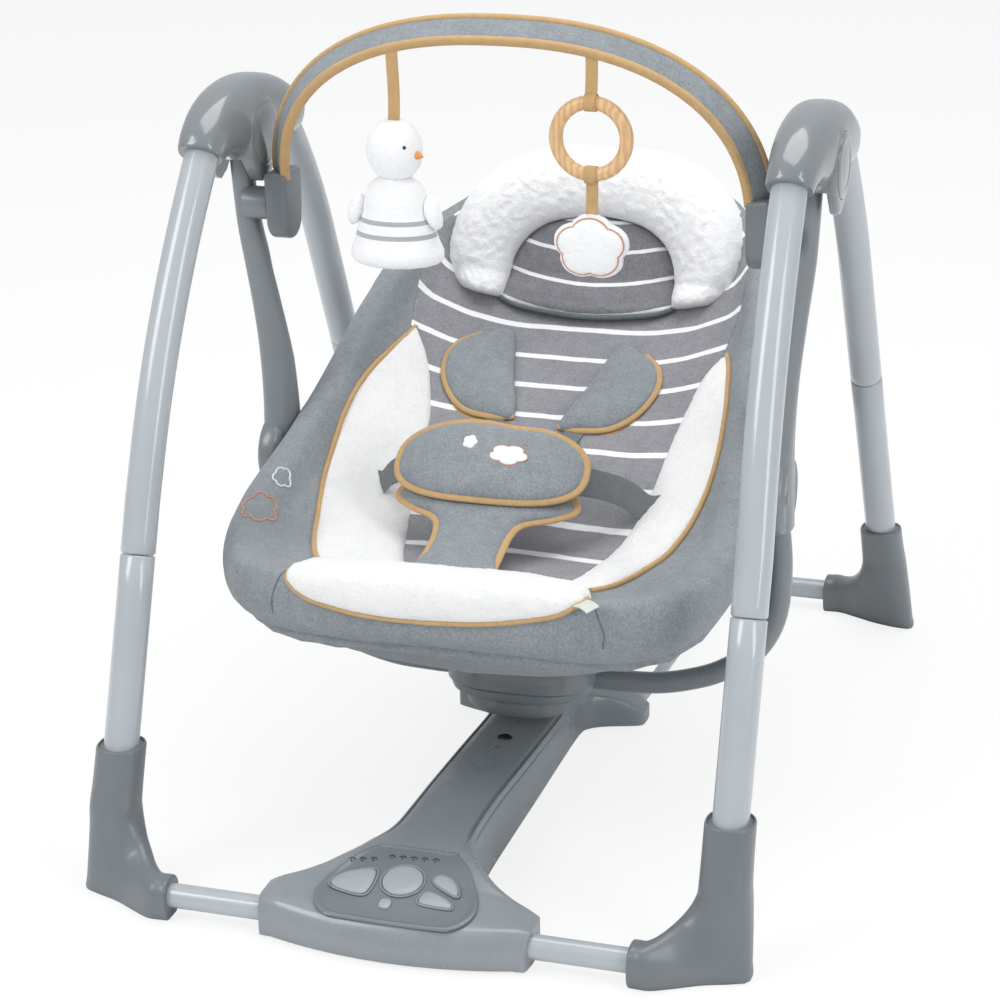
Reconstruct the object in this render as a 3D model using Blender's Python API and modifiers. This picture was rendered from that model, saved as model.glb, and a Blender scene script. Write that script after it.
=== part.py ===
"""Portable baby swing: a folding A-frame with a hanging padded seat and a toy bar.

Units are metres. +Z is up, the front of the swing faces -Y and +X is the viewer's right.
The origin is on the floor under the middle of the frame.
"""
import math

import bmesh
import bpy
from mathutils import Matrix, Vector
from mathutils.bvhtree import BVHTree

# Fits
GAP = 0.0003
SOFT_GAP = 0.0008
HOLE_SIDES = 16
WELD = 0.00002

# Leg tubes
LEG_R = 0.0142
LEG_WALL = 0.0010
LEG_SIDES = 12
LEG_END_Z = 0.0760
NOSE_DEPTH = 0.0140

# Front legs: straight from the foot, bending back towards the hub
FRONT_TOP_Z = 0.1161
FRONT_Y = -0.3095
FRONT_SLOPE = 0.374
FRONT_BEND_Z = 0.340
FRONT_BEND = 1.05
FRONT_X = 0.2500
FRONT_LEAN_Z = 0.300
FRONT_LEAN = 0.028
FRONT_SEAM_Z = 0.2589

# Rear legs: the same shape, closer to straight
REAR_TOP_Z = 0.1131
REAR_Y = 0.3252
REAR_SLOPE = -0.510
REAR_BEND_Z = 0.420
REAR_BEND = -1.63
REAR_X = 0.2563
REAR_LEAN_Z = 0.113
REAR_LEAN = 0.022
REAR_SEAM_Z = 0.2949

# Floor bars
BAR_R = 0.0098
BAR_GRIP = 0.012
FRONT_BAR_Y = -0.3672
FRONT_BAR_Z = 0.0182
REAR_BAR_Y = 0.3810
REAR_BAR_Z = 0.0189

# Feet
SLEEVE_HALF = 0.0195
NOZZLE_R = 0.0155
FRONT_HEEL_X = 0.2740
REAR_HEEL_X = 0.2868
FRONT_NOZZLE_X = 0.1873
REAR_NOZZLE_X = 0.1947
FOOT_BEND_R = 0.0380
FOOT_SIDES = 12
FOOT_SINK = 0.0022

# Hubs
HUB_Y = -0.0180
HUB_Z = 0.5505
NOSE_LIFT = 0.0008
FRONT_NOSE_Z = HUB_Z + NOSE_LIFT
HUB_IN = 0.2197
HUB_OUT = 0.2697
HUB_SLOT_IN = 0.2318
HUB_SLOT_OUT = 0.2617
HUB_EDGE = 0.0035
BOSS_OUTER_R = 0.0325
AXLE_R = 0.0060
PIVOT_Y = 0.0720
PIVOT_Z = 0.5530
PIVOT_R = 0.0045
PIVOT_OUT = 0.2655
CAP_R = 0.0270
LENS_R = 0.0262
LENS_OUT = 0.0032
CAP_TRAVEL = 0.0030
CAP_PROUD = 0.0022

# Hanger arms and side joints
ARM_R = 0.0098
ARM_EYE_R = 0.0165
JOINT_Y = -0.0125
JOINT_Z = 0.2670
JOINT_R = 0.0350
JOINT_IN = 0.2125
JOINT_OUT = 0.2330
JOINT_PIN_R = 0.0060
PLATE_R = 0.0240
PLATE_T = 0.0055

# Lower tube and drive unit
TUBE_R = 0.0095
TUBE_WALL = 0.0010
TUBE_Z = 0.0800
DRIVE_HALF = 0.0660
DRIVE_FRONT = -0.0640
DRIVE_BACK = 0.0400
DRIVE_TOP = 0.1075
POD_BOTTOM = 0.0545
POD_TOP = 0.0740
POD_HALF = 0.0500
MAGNET_R = 0.0170
MAGNET_H = 0.0110

# Base unit
BASE_BOTTOM = 0.0030
WINDOW_Y = -0.0782
WINDOW_R = 0.0065
BASE_WALL = 0.0024
COVER_T = 0.0020
PANEL_T = 0.0014
BUTTON_PROUD = 0.0022
BUTTON_DEEP = 0.0070
BUTTON_TRAVEL = 0.0012
BUTTON_GAP = 0.0007
SWITCH_TRAVEL = 0.0040
BOARD_Y = -0.3190
BOARD_Z = 0.0290
BOARD_T = 0.0016
BOARD_POST_X = 0.0240
BOARD_POST_R = 0.0030
COIL_R = 0.0170
COIL_H = 0.0260
BRACE_R = 0.0055
BRACE_X = 0.0755
BRACE_END_X = 0.1050
BRACE_Z = 0.0143
BRACE_START_Y = 0.0640
HOOK_R = 0.0175
HOOK_HALF = 0.0090

# Seat
FRAME_R = 0.0055
FRAME_DROP = 0.0010
FRAME_SHARE = 0.86
GROOVE = 0.0010
SPLIT_Y = 0.0075
SPLIT_GAP = 0.0013
RECLINE_DEG = 15.0
ROLL_IN = 0.86
ROLL_OUT = 1.085

# Headrest
HEAD_Y = 0.2620
HEAD_Z = 0.4230
HEAD_LEAN = 20.0
HEAD_CROWN = 0.0460
HEAD_CURL = 0.6

# Harness pads
PAD_CURL = 1.6
WAIST_CENTRE = (0.0, -0.1000, 0.3055)
WAIST_PITCH = 40.0
CROTCH_Y = -0.2070
CROTCH_Z = 0.2480
CROTCH_START = 4.0
CROTCH_END = 40.0
CROTCH_L = 0.1150
CROTCH_FLARE = 0.0850
CROTCH_HALF = ((0.0310, 0.0), (0.0305, 0.0300), (0.0330, 0.0580), (0.0440, 0.0760), (0.0660, 0.0880),
               (0.0760, 0.0990), (0.0700, 0.1110), (0.0500, CROTCH_L))
SHOULDER_RIGHT = (0.0560, 0.0990)
SHOULDER_LEFT = (-0.0690, 0.0940)
SHOULDER_TURN = -14.0
SHOULDER_EDGE = ((-0.0280, 0.0560), (0.0000, 0.0500), (0.0200, 0.0340), (0.0315, 0.0100), (0.0300, -0.0180),
                 (0.0150, -0.0430), (-0.0100, -0.0540), (-0.0310, -0.0560), (-0.0300, 0.0000))
SHOULDER_LIFT = 0.0008
SHOULDER_THICK = 0.0055
LINING_PITCH = 24.0

# Toy bar
BOW_CLEAR = 0.0147
BOW_HALF = HUB_IN - BOW_CLEAR
BOW_RISE = 0.1500
BOW_FOOT_Z = 0.5050
BOW_LEAN = 0.0400
BOW_POWER = 2.35
BAND_W = 0.0270
BAND_T = 0.0060
BAND_TILT = 53.0
SOCKET_IN = BOW_HALF - 0.0095
SOCKET_OUT = BOW_HALF + 0.0105
SOCKET_Y = -0.0220
SOCKET_Z = 0.4920
SOCKET_PIN_R = 0.0060
BOSS_R = 0.0140

# Toys
TOY_Y = -0.0680
STRAP_GAP = 0.0009
STRAP_INSET = 0.0060
STRAP_HANG = 0.0120
STRAP_W = 0.0100
STRAP_T = 0.0016
BIRD_X = -0.0880
RING_X = 0.0770
RING_Z = 0.5730
RING_R = 0.0290
RING_ROD = 0.0056
RING_STEPS = 18
RING_SIDES = 8
PUFF_Z = 0.4850
PUFF_R = 0.0265


def clear_scene():
    for obj in list(bpy.data.objects):
        bpy.data.objects.remove(obj, do_unlink=True)


def new_collection(name):
    group = bpy.data.collections.new(name)
    bpy.context.scene.collection.children.link(group)
    return group


clear_scene()
PARTS = new_collection("baby_swing")
CUTTERS = new_collection("cutters")


def material(name, colour, roughness, metallic=0.0):
    mat = bpy.data.materials.new(name)
    mat.use_nodes = True
    shader = mat.node_tree.nodes["Principled BSDF"]
    shader.inputs["Base Color"].default_value = (*colour, 1.0)
    shader.inputs["Roughness"].default_value = roughness
    shader.inputs["Metallic"].default_value = metallic
    return mat


DARK_PLASTIC = (0.165, 0.195, 0.205)
GLOSS_GREY = (0.215, 0.235, 0.245)
LIGHT_METAL = (0.42, 0.46, 0.48)
BUTTON_GREY = (0.40, 0.43, 0.45)
HEATHER = (0.24, 0.29, 0.30)
PLUSH = (0.90, 0.90, 0.88)
TAN = (0.55, 0.35, 0.16)
WOOD = (0.68, 0.42, 0.20)
COPPER = (0.60, 0.30, 0.16)
BOARD_GREEN = (0.03, 0.20, 0.08)


def smooth(obj, angle=35.0):
    obj.data.shade_smooth()
    obj.data.set_sharp_from_angle(angle=math.radians(angle))


def add_mesh(name, bm, group=None):
    bmesh.ops.recalc_face_normals(bm, faces=bm.faces)
    mesh = bpy.data.meshes.new(name)
    bm.to_mesh(mesh)
    bm.free()
    obj = bpy.data.objects.new(name, mesh)
    (group or PARTS).objects.link(obj)
    return obj


def bake(obj):
    """Replace the object's mesh by its evaluated one."""
    graph = bpy.context.evaluated_depsgraph_get()
    mesh = bpy.data.meshes.new_from_object(obj.evaluated_get(graph))
    obj.modifiers.clear()
    obj.data = mesh
    return obj


def weld(obj, distance=0.00001):
    bm = bmesh.new()
    bm.from_mesh(obj.data)
    bmesh.ops.remove_doubles(bm, verts=bm.verts, dist=distance)
    bmesh.ops.recalc_face_normals(bm, faces=bm.faces)
    bm.to_mesh(obj.data)
    bm.free()
    return obj


def merge_flat(obj, angle=0.4):
    """Join faces that lie in one plane."""
    bm = bmesh.new()
    bm.from_mesh(obj.data)
    bmesh.ops.dissolve_limit(bm, angle_limit=math.radians(angle), verts=bm.verts, edges=bm.edges)
    bm.to_mesh(obj.data)
    bm.free()
    return obj


def triangulate(obj):
    bm = bmesh.new()
    bm.from_mesh(obj.data)
    bmesh.ops.remove_doubles(bm, verts=bm.verts, dist=WELD)
    bmesh.ops.triangulate(bm, faces=bm.faces)
    bmesh.ops.dissolve_degenerate(bm, edges=bm.edges, dist=WELD)
    bmesh.ops.triangulate(bm, faces=bm.faces)
    bm.to_mesh(obj.data)
    bm.free()
    return obj


def boolean(obj, other, operation):
    other.hide_render = True
    other.display_type = "WIRE"
    step = obj.modifiers.new(operation.lower(), "BOOLEAN")
    step.operation = operation
    step.object = other
    bake(obj)
    bpy.data.objects.remove(other, do_unlink=True)
    return obj


def cut(obj, *cutters):
    for cutter in cutters:
        boolean(obj, cutter, "DIFFERENCE")
    return obj


def join(obj, *others):
    for other in others:
        boolean(obj, other, "UNION")
    return obj


def bevel(obj, width, segments=2, angle=30.0):
    step = obj.modifiers.new("bevel", "BEVEL")
    step.width = width
    step.segments = segments
    step.limit_method = "ANGLE"
    step.angle_limit = math.radians(angle)
    return bake(obj)


def rod(name, start, end, radius, sides=16, radius_end=None, group=None):
    """A cylinder or cone between two points."""
    start = Vector(start)
    end = Vector(end)
    along = end - start
    place = Matrix.Translation((start + end) / 2)
    place = place @ along.to_track_quat("Z", "Y").to_matrix().to_4x4()
    bm = bmesh.new()
    bmesh.ops.create_cone(
        bm,
        cap_ends=True,
        segments=sides,
        radius1=radius,
        radius2=radius if radius_end is None else radius_end,
        depth=along.length,
        matrix=place,
    )
    return add_mesh(name, bm, group)


def cutter_rod(start, end, radius):
    """A round hole whose flats lie at the given radius."""
    return rod("cutter", start, end, radius / math.cos(math.pi / HOLE_SIDES), HOLE_SIDES, group=CUTTERS)


def block(name, low, high, group=None):
    low = Vector(low)
    high = Vector(high)
    bm = bmesh.new()
    size = high - low
    place = Matrix.Translation((low + high) / 2) @ Matrix.Diagonal((*size, 1.0))
    bmesh.ops.create_cube(bm, size=1.0, matrix=place)
    return add_mesh(name, bm, group)


def ball(name, centre, radii, rings=8, segments=14, group=None):
    bm = bmesh.new()
    place = Matrix.Translation(centre) @ Matrix.Diagonal((*radii, 1.0))
    bmesh.ops.create_uvsphere(bm, u_segments=segments, v_segments=rings, radius=1.0, matrix=place)
    return add_mesh(name, bm, group)


def spline_points(points, count):
    """Points at even steps along a smooth curve through the given ones."""
    points = [Vector(p) for p in points]
    ends = [2 * points[0] - points[1]] + points + [2 * points[-1] - points[-2]]
    dense = []
    for i in range(1, len(ends) - 2):
        a, b, c, d = ends[i - 1:i + 3]
        for step in range(24):
            t = step / 24
            dense.append(0.5 * (2 * b + (c - a) * t + (2 * a - 5 * b + 4 * c - d) * t * t
                                + (3 * b - a - 3 * c + d) * t ** 3))
    dense.append(points[-1])
    lengths = [0.0]
    for a, b in zip(dense, dense[1:]):
        lengths.append(lengths[-1] + (b - a).length)
    result = []
    k = 0
    for step in range(count + 1):
        want = lengths[-1] * step / count
        while k < len(dense) - 2 and lengths[k + 1] < want:
            k += 1
        span = lengths[k + 1] - lengths[k]
        result.append(dense[k].lerp(dense[k + 1], (want - lengths[k]) / span))
    return result


def bent_tube(name, points, radius, sides, wall=0.0, group=None):
    """A tube along a poly curve: solid with caps, or hollow and open at its ends."""
    data = bpy.data.curves.new(name, "CURVE")
    data.dimensions = "3D"
    data.bevel_depth = radius
    data.bevel_resolution = (sides - 4) // 2
    data.use_fill_caps = wall == 0.0
    line = data.splines.new("POLY")
    line.points.add(len(points) - 1)
    for spot, point in zip(line.points, points):
        spot.co = (*point, 1.0)
    curve = bpy.data.objects.new(name, data)
    (group or PARTS).objects.link(curve)
    graph = bpy.context.evaluated_depsgraph_get()
    mesh = bpy.data.meshes.new_from_object(curve.evaluated_get(graph))
    obj = bpy.data.objects.new(name, mesh)
    (group or PARTS).objects.link(obj)
    obj.matrix_world = curve.matrix_world
    bpy.data.objects.remove(curve, do_unlink=True)
    weld(obj)
    if wall:
        shell = obj.modifiers.new("wall", "SOLIDIFY")
        shell.thickness = wall
        shell.offset = -1.0
        bake(obj)
        weld(obj)
    return obj


def plate(name, outline, thickness, place, group=None):
    """A flat outline, extruded to both sides of its plane and put in place by a matrix."""
    data = bpy.data.curves.new(name, "CURVE")
    data.dimensions = "2D"
    data.fill_mode = "BOTH"
    data.extrude = thickness / 2
    line = data.splines.new("POLY")
    line.points.add(len(outline) - 1)
    for spot, point in zip(line.points, outline):
        spot.co = (point[0], point[1], 0.0, 1.0)
    line.use_cyclic_u = True
    curve = bpy.data.objects.new(name, data)
    (group or PARTS).objects.link(curve)
    graph = bpy.context.evaluated_depsgraph_get()
    mesh = bpy.data.meshes.new_from_object(curve.evaluated_get(graph))
    mesh.transform(place)
    bpy.data.objects.remove(curve, do_unlink=True)
    obj = bpy.data.objects.new(name, mesh)
    (group or PARTS).objects.link(obj)
    return weld(obj)


def yz_place(x):
    """Outline x, y become world Y, Z; the plate's middle lies at world x."""
    turn = Matrix(((0, 0, 1), (1, 0, 0), (0, 1, 0))).to_4x4()
    return Matrix.Translation((x, 0, 0)) @ turn


def yz_plate(name, outline, x_low, x_high, group=None):
    return plate(name, outline, x_high - x_low, yz_place((x_low + x_high) / 2), group)


def xz_plate(name, outline, y_low, y_high, group=None):
    turn = Matrix(((1, 0, 0), (0, 0, -1), (0, 1, 0))).to_4x4()
    place = Matrix.Translation((0, (y_low + y_high) / 2, 0)) @ turn
    return plate(name, outline, y_high - y_low, place, group)


def xy_plate(name, outline, z_low, z_high, group=None):
    place = Matrix.Translation((0, 0, (z_low + z_high) / 2))
    return plate(name, outline, z_high - z_low, place, group)


def arc(centre, radius, start, end, steps):
    """Points on an arc, angles in degrees."""
    points = []
    for i in range(steps + 1):
        a = math.radians(start + (end - start) * i / steps)
        points.append((centre[0] + radius * math.cos(a), centre[1] + radius * math.sin(a)))
    return points


def circle(centre, radius, steps):
    return arc(centre, radius, 0, 360 * (steps - 1) / steps, steps - 1)


def smooth_outline(points, per_span):
    """A closed smooth curve through the given points."""
    count = len(points)
    result = []
    for i in range(count):
        a, b, c, d = (Vector(points[(i + k) % count]) for k in (-1, 0, 1, 2))
        for step in range(per_span):
            t = step / per_span
            spot = 0.5 * (2 * b + (c - a) * t + (2 * a - 5 * b + 4 * c - d) * t * t
                          + (3 * b - a - 3 * c + d) * t ** 3)
            result.append(tuple(spot))
    return result


def sweep(name, points, frames, profile):
    """A bar of constant section: each frame gives the section's two directions."""
    bm = bmesh.new()
    rings = []
    for point, (u, v) in zip(points, frames):
        rings.append([bm.verts.new(point + u * a + v * b) for a, b in profile])
    n = len(profile)
    for first, second in zip(rings, rings[1:]):
        for k in range(n):
            bm.faces.new((first[k], first[(k + 1) % n], second[(k + 1) % n], second[k]))
    bm.faces.new(rings[0])
    bm.faces.new(rings[-1])
    return add_mesh(name, bm)


def cushion(name, outline, crown, place, under=1.0, rings=(0.95, 0.78, 0.45)):
    """A crowned pad: rings shrink from the outline to the middle on both faces."""
    bm = bmesh.new()
    n = len(outline)
    cx = sum(p[0] for p in outline) / n
    cy = sum(p[1] for p in outline) / n

    def ring(f, side):
        rise = side * crown * math.sqrt(1.0 - f ** 2.6)
        return [bm.verts.new(place(cx + f * (x - cx), cy + f * (y - cy), rise)) for x, y in outline]

    edge = ring(1.0, 0.0)
    for side in (1.0, -under):
        last = edge
        for f in rings:
            fresh = ring(f, side)
            for k in range(n):
                bm.faces.new((last[k], last[(k + 1) % n], fresh[(k + 1) % n], fresh[k]))
            last = fresh
        middle = bm.verts.new(place(cx, cy, side * crown))
        for k in range(n):
            bm.faces.new((last[k], last[(k + 1) % n], middle))
    return add_mesh(name, bm)


def lookup(table, value):
    """Straight-line reading of a table of (position, reading) pairs."""
    if value <= table[0][0]:
        return table[0][1]
    for (a, low), (b, high) in zip(table, table[1:]):
        if value <= b:
            return low + (high - low) * (value - a) / (b - a)
    return table[-1][1]


BODIES = {}


def body(name, origin):
    """An empty on the joint's axis; everything that moves there is its child."""
    marker = bpy.data.objects.new("body_" + name, None)
    marker.location = origin
    marker.empty_display_size = 0.03
    PARTS.objects.link(marker)
    BODIES[name] = marker
    return marker


def ride(obj, name):
    marker = BODIES[name]
    obj.parent = marker
    obj.matrix_parent_inverse = Matrix.Translation(-marker.location)
    return obj


def finish(obj, name, look, carrier=None, angle=35.0):
    colour, roughness, metallic = look
    merge_flat(obj)
    triangulate(obj)
    obj.name = name
    obj.data.name = name
    obj.data.materials.clear()
    obj.data.materials.append(material(name, colour, roughness, metallic))
    smooth(obj, angle)
    if carrier:
        ride(obj, carrier)
    return obj


def mirrored(obj):
    mesh = obj.data.copy()
    mesh.transform(Matrix.Diagonal((-1, 1, 1, 1)))
    mesh.flip_normals()
    twin = bpy.data.objects.new(obj.name, mesh)
    PARTS.objects.link(twin)
    return twin


def finish_pair(obj, name, look, carrier_right=None, carrier_left=None, angle=35.0):
    twin = mirrored(obj)
    finish(obj, name + "_right", look, carrier_right, angle)
    finish(twin, name + "_left", look, carrier_left or carrier_right, angle)


MATTE = (DARK_PLASTIC, 0.45, 0.0)
GLOSS = (GLOSS_GREY, 0.18, 0.0)
PAINT = (LIGHT_METAL, 0.30, 0.35)
KEY = (BUTTON_GREY, 0.35, 0.0)
CLOTH = (HEATHER, 0.95, 0.0)
FLEECE = (PLUSH, 0.95, 0.0)
WEBBING = (TAN, 0.85, 0.0)
TIMBER = (WOOD, 0.45, 0.0)
STEEL = ((0.55, 0.56, 0.58), 0.30, 1.0)


# Leg lines

def front_leg(z):
    bend = FRONT_BEND * max(0.0, z - FRONT_BEND_Z) ** 2
    lean = FRONT_LEAN * max(0.0, z - FRONT_LEAN_Z)
    return Vector((FRONT_X - lean, FRONT_Y + FRONT_SLOPE * (z - FRONT_TOP_Z) + bend, z))


def rear_leg(z):
    bend = REAR_BEND * max(0.0, z - REAR_BEND_Z) ** 2
    lean = REAR_LEAN * max(0.0, z - REAR_LEAN_Z)
    return Vector((REAR_X - lean, REAR_Y + REAR_SLOPE * (z - REAR_TOP_Z) + bend, z))


def leg_points(line, low, high, steps):
    return [line(low + (high - low) * i / steps) for i in range(steps + 1)]


def make_front_legs():
    lower = bent_tube(
        "leg", leg_points(front_leg, LEG_END_Z, FRONT_SEAM_Z - GAP / 2, 1), LEG_R, LEG_SIDES, LEG_WALL)
    finish_pair(lower, "front_leg_lower", PAINT)
    top = FRONT_NOSE_Z + NOSE_DEPTH
    upper = bent_tube(
        "leg", leg_points(front_leg, FRONT_SEAM_Z + GAP / 2, top, 7), LEG_R, LEG_SIDES, LEG_WALL)
    finish_pair(upper, "front_leg_upper", PAINT)


def make_rear_legs():
    lower = bent_tube(
        "leg", leg_points(rear_leg, LEG_END_Z, REAR_SEAM_Z - GAP / 2, 1), LEG_R, LEG_SIDES, LEG_WALL)
    finish_pair(lower, "rear_leg_lower", PAINT, "rear_frame")
    upper = bent_tube(
        "leg", leg_points(rear_leg, REAR_SEAM_Z + GAP / 2, PIVOT_Z - 0.004, 5), LEG_R, LEG_SIDES)
    bore = bent_tube(
        "bore", leg_points(rear_leg, REAR_SEAM_Z - 0.01, PIVOT_Z - 0.030, 5), LEG_R - LEG_WALL, LEG_SIDES,
        group=CUTTERS)
    eye = rod("eye", (HUB_SLOT_IN + GAP, PIVOT_Y, PIVOT_Z), (HUB_SLOT_OUT - GAP, PIVOT_Y, PIVOT_Z),
              LEG_R, LEG_SIDES + 4)
    join(upper, eye)
    hole = cutter_rod((HUB_IN, PIVOT_Y, PIVOT_Z), (HUB_OUT, PIVOT_Y, PIVOT_Z), PIVOT_R + GAP)
    cut(upper, bore, hole)
    finish_pair(upper, "rear_leg_upper", PAINT, "rear_frame")


def loft(name, rings, group=None):
    """A closed skin over rings of equal point count, flat at both ends."""
    bm = bmesh.new()
    rows = [[bm.verts.new(point) for point in ring] for ring in rings]
    n = len(rows[0])
    for first, second in zip(rows, rows[1:]):
        for k in range(n):
            bm.faces.new((first[k], first[(k + 1) % n], second[(k + 1) % n], second[k]))
    bm.faces.new(rows[0])
    bm.faces.new(rows[-1])
    return add_mesh(name, bm, group)


def rounded_ring(one_side, other_side, half, power, steps, across):
    """A rounded section between two points, as wide as half to each side along across."""
    centre = (one_side + other_side) / 2
    reach = (one_side - other_side) / 2
    ring = []
    for x, y in super_outline(1.0, 1.0, 0.0, power, steps):
        ring.append(centre + reach * x + across * (half * y))
    return ring


def make_foot(line, top_z, leg_x, heel_x, nozzle_x, bar_y, bar_z):
    """A sleeve round the leg that bends inwards to a nozzle round the floor bar."""
    half = SLEEVE_HALF
    high = bar_z + NOZZLE_R
    inner_x = leg_x - half
    turn_x = inner_x - FOOT_BEND_R
    turn_z = high + FOOT_BEND_R
    across = Vector((0, 1, 0))
    rings = []
    for z in (top_z, top_z - 0.0020, (top_z + turn_z) / 2):
        share = (top_z - z) / top_z
        trim = 0.0015 if z == top_z else 0.0
        out_x = leg_x + half + (heel_x - leg_x - half) * share ** 1.5
        y = line(z).y
        rings.append(rounded_ring(Vector((out_x - trim, y, z)), Vector((inner_x + trim, y, z)),
                                  half - trim, 2.4, FOOT_SIDES, across))
    start_y = line(turn_z).y
    corner = math.degrees(math.atan2(turn_z, heel_x - turn_x))
    turns = [corner * k for k in (0.0, 0.4, 0.75, 1.0)]
    turns += [90 - (90 - corner) * k for k in (0.7, 0.4, 0.15, 0.0)]
    for degrees in turns:
        a = math.radians(degrees)
        inner = Vector((turn_x + FOOT_BEND_R * math.cos(a), 0, turn_z - FOOT_BEND_R * math.sin(a)))
        lean = (heel_x - leg_x - half) * ((top_z - turn_z) / top_z) ** 1.5
        side_x = leg_x + half + lean + (heel_x - leg_x - half - lean) * degrees / corner
        to_side = (side_x - turn_x) / math.cos(a) if degrees < 85 else 9.0
        to_floor = (turn_z + FOOT_SINK) / math.sin(a) if degrees > 5 else 9.0
        reach = min(to_side, to_floor)
        outer = Vector((turn_x + reach * math.cos(a), 0, turn_z - reach * math.sin(a)))
        share = min(1.0, degrees / 76)
        y = start_y + (bar_y - start_y) * share ** 2
        inner.y = outer.y = y
        deep = half + (NOZZLE_R - half) * share
        rings.append(rounded_ring(outer, inner, deep, 2.6, FOOT_SIDES, across))
    for x, trim in ((nozzle_x + 0.002, 0.0), (nozzle_x, 0.0015)):
        rings.append(rounded_ring(Vector((x, bar_y, trim - FOOT_SINK)), Vector((x, bar_y, high - trim)),
                                  NOZZLE_R - trim, 2.6, FOOT_SIDES, across))
    foot = loft("foot", rings)
    keep_side(foot, (0, 0, 0), (0, 0, -1))
    cut(foot,
        cutter_rod(line(LEG_END_Z - 0.0005), line(top_z + 0.02), LEG_R + GAP),
        cutter_rod((nozzle_x - 0.02, bar_y, bar_z), (nozzle_x + BAR_GRIP + GAP, bar_y, bar_z), BAR_R + GAP))
    return foot


def make_feet():
    front = make_foot(front_leg, FRONT_TOP_Z, FRONT_X, FRONT_HEEL_X, FRONT_NOZZLE_X,
                      FRONT_BAR_Y, FRONT_BAR_Z)
    finish_pair(front, "front_foot", MATTE)
    rear = make_foot(rear_leg, REAR_TOP_Z, REAR_X, REAR_HEEL_X, REAR_NOZZLE_X,
                     REAR_BAR_Y, REAR_BAR_Z)
    finish_pair(rear, "rear_foot", MATTE, "rear_frame")


def make_bars():
    front_end = FRONT_NOZZLE_X + BAR_GRIP
    front = bent_tube("bar", [(-front_end, FRONT_BAR_Y, FRONT_BAR_Z), (front_end, FRONT_BAR_Y, FRONT_BAR_Z)],
                      BAR_R, 16, LEG_WALL)
    finish(front, "front_bar", PAINT)
    rear_end = REAR_NOZZLE_X + BAR_GRIP
    rear = bent_tube("bar", [(-rear_end, REAR_BAR_Y, REAR_BAR_Z), (rear_end, REAR_BAR_Y, REAR_BAR_Z)],
                     BAR_R, 16, LEG_WALL)
    finish(rear, "rear_bar", PAINT, "rear_frame")


# Hub sections from the nose over the arch to the rear end: top y, z, bottom y, z, half width
HUB_SECTIONS = (
    (-0.1170, 0.5631, -0.0878, 0.5395, 0.0188),
    (-0.1085, 0.5735, -0.0775, 0.5410, 0.0198),
    (-0.0900, 0.5860, -0.0640, 0.5400, 0.0214),
    (-0.0680, 0.5940, -0.0500, 0.5350, 0.0232),
    (-0.0430, 0.5980, -0.0360, 0.5300, 0.0246),
    (-0.0150, 0.5990, -0.0180, 0.5280, 0.0250),
    (0.0120, 0.5960, 0.0050, 0.5285, 0.0250),
    (0.0380, 0.5895, 0.0300, 0.5300, 0.0246),
    (0.0620, 0.5790, 0.0500, 0.5305, 0.0236),
    (0.0810, 0.5690, 0.0640, 0.5310, 0.0222),
    (0.0915, 0.5590, 0.0740, 0.5320, 0.0195),
    (0.0940, 0.5500, 0.0840, 0.5370, 0.0130),
)
HUB_X = 0.2447


def hub_loft():
    across = Vector((1, 0, 0))
    rings = []
    for i, (ty, tz, by, bz, half) in enumerate(HUB_SECTIONS):
        x = HUB_X - 0.0012 * max(0.0, 1.0 - i / 4)
        power = 2.2 + 0.6 * min(1.0, i / 5)
        rings.append(rounded_ring(Vector((x, ty, tz)), Vector((x, by, bz)), half, power, 14, across))
    return loft("hub", rings)


def hub_boss_outline():
    """A round boss with a short lip below."""
    lip = [(HUB_Y - 0.0120, HUB_Z - 0.0360), (HUB_Y - 0.0030, HUB_Z - 0.0400),
           (HUB_Y + 0.0100, HUB_Z - 0.0345)]
    return arc((HUB_Y, HUB_Z), BOSS_OUTER_R, -38, 212, 11) + lip


def hub_slot_outline():
    """Open space between the cheeks for the arm's eye and the rear leg's end."""
    return [(-0.0500, 0.4800), (-0.0470, 0.5300), (-0.0400, 0.5600), (-0.0200, 0.5720),
            (0.0300, 0.5730), (0.0600, 0.5700), (0.0800, 0.5685), (0.0900, 0.5600),
            (0.1400, 0.5000), (0.1400, 0.4800)]


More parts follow.
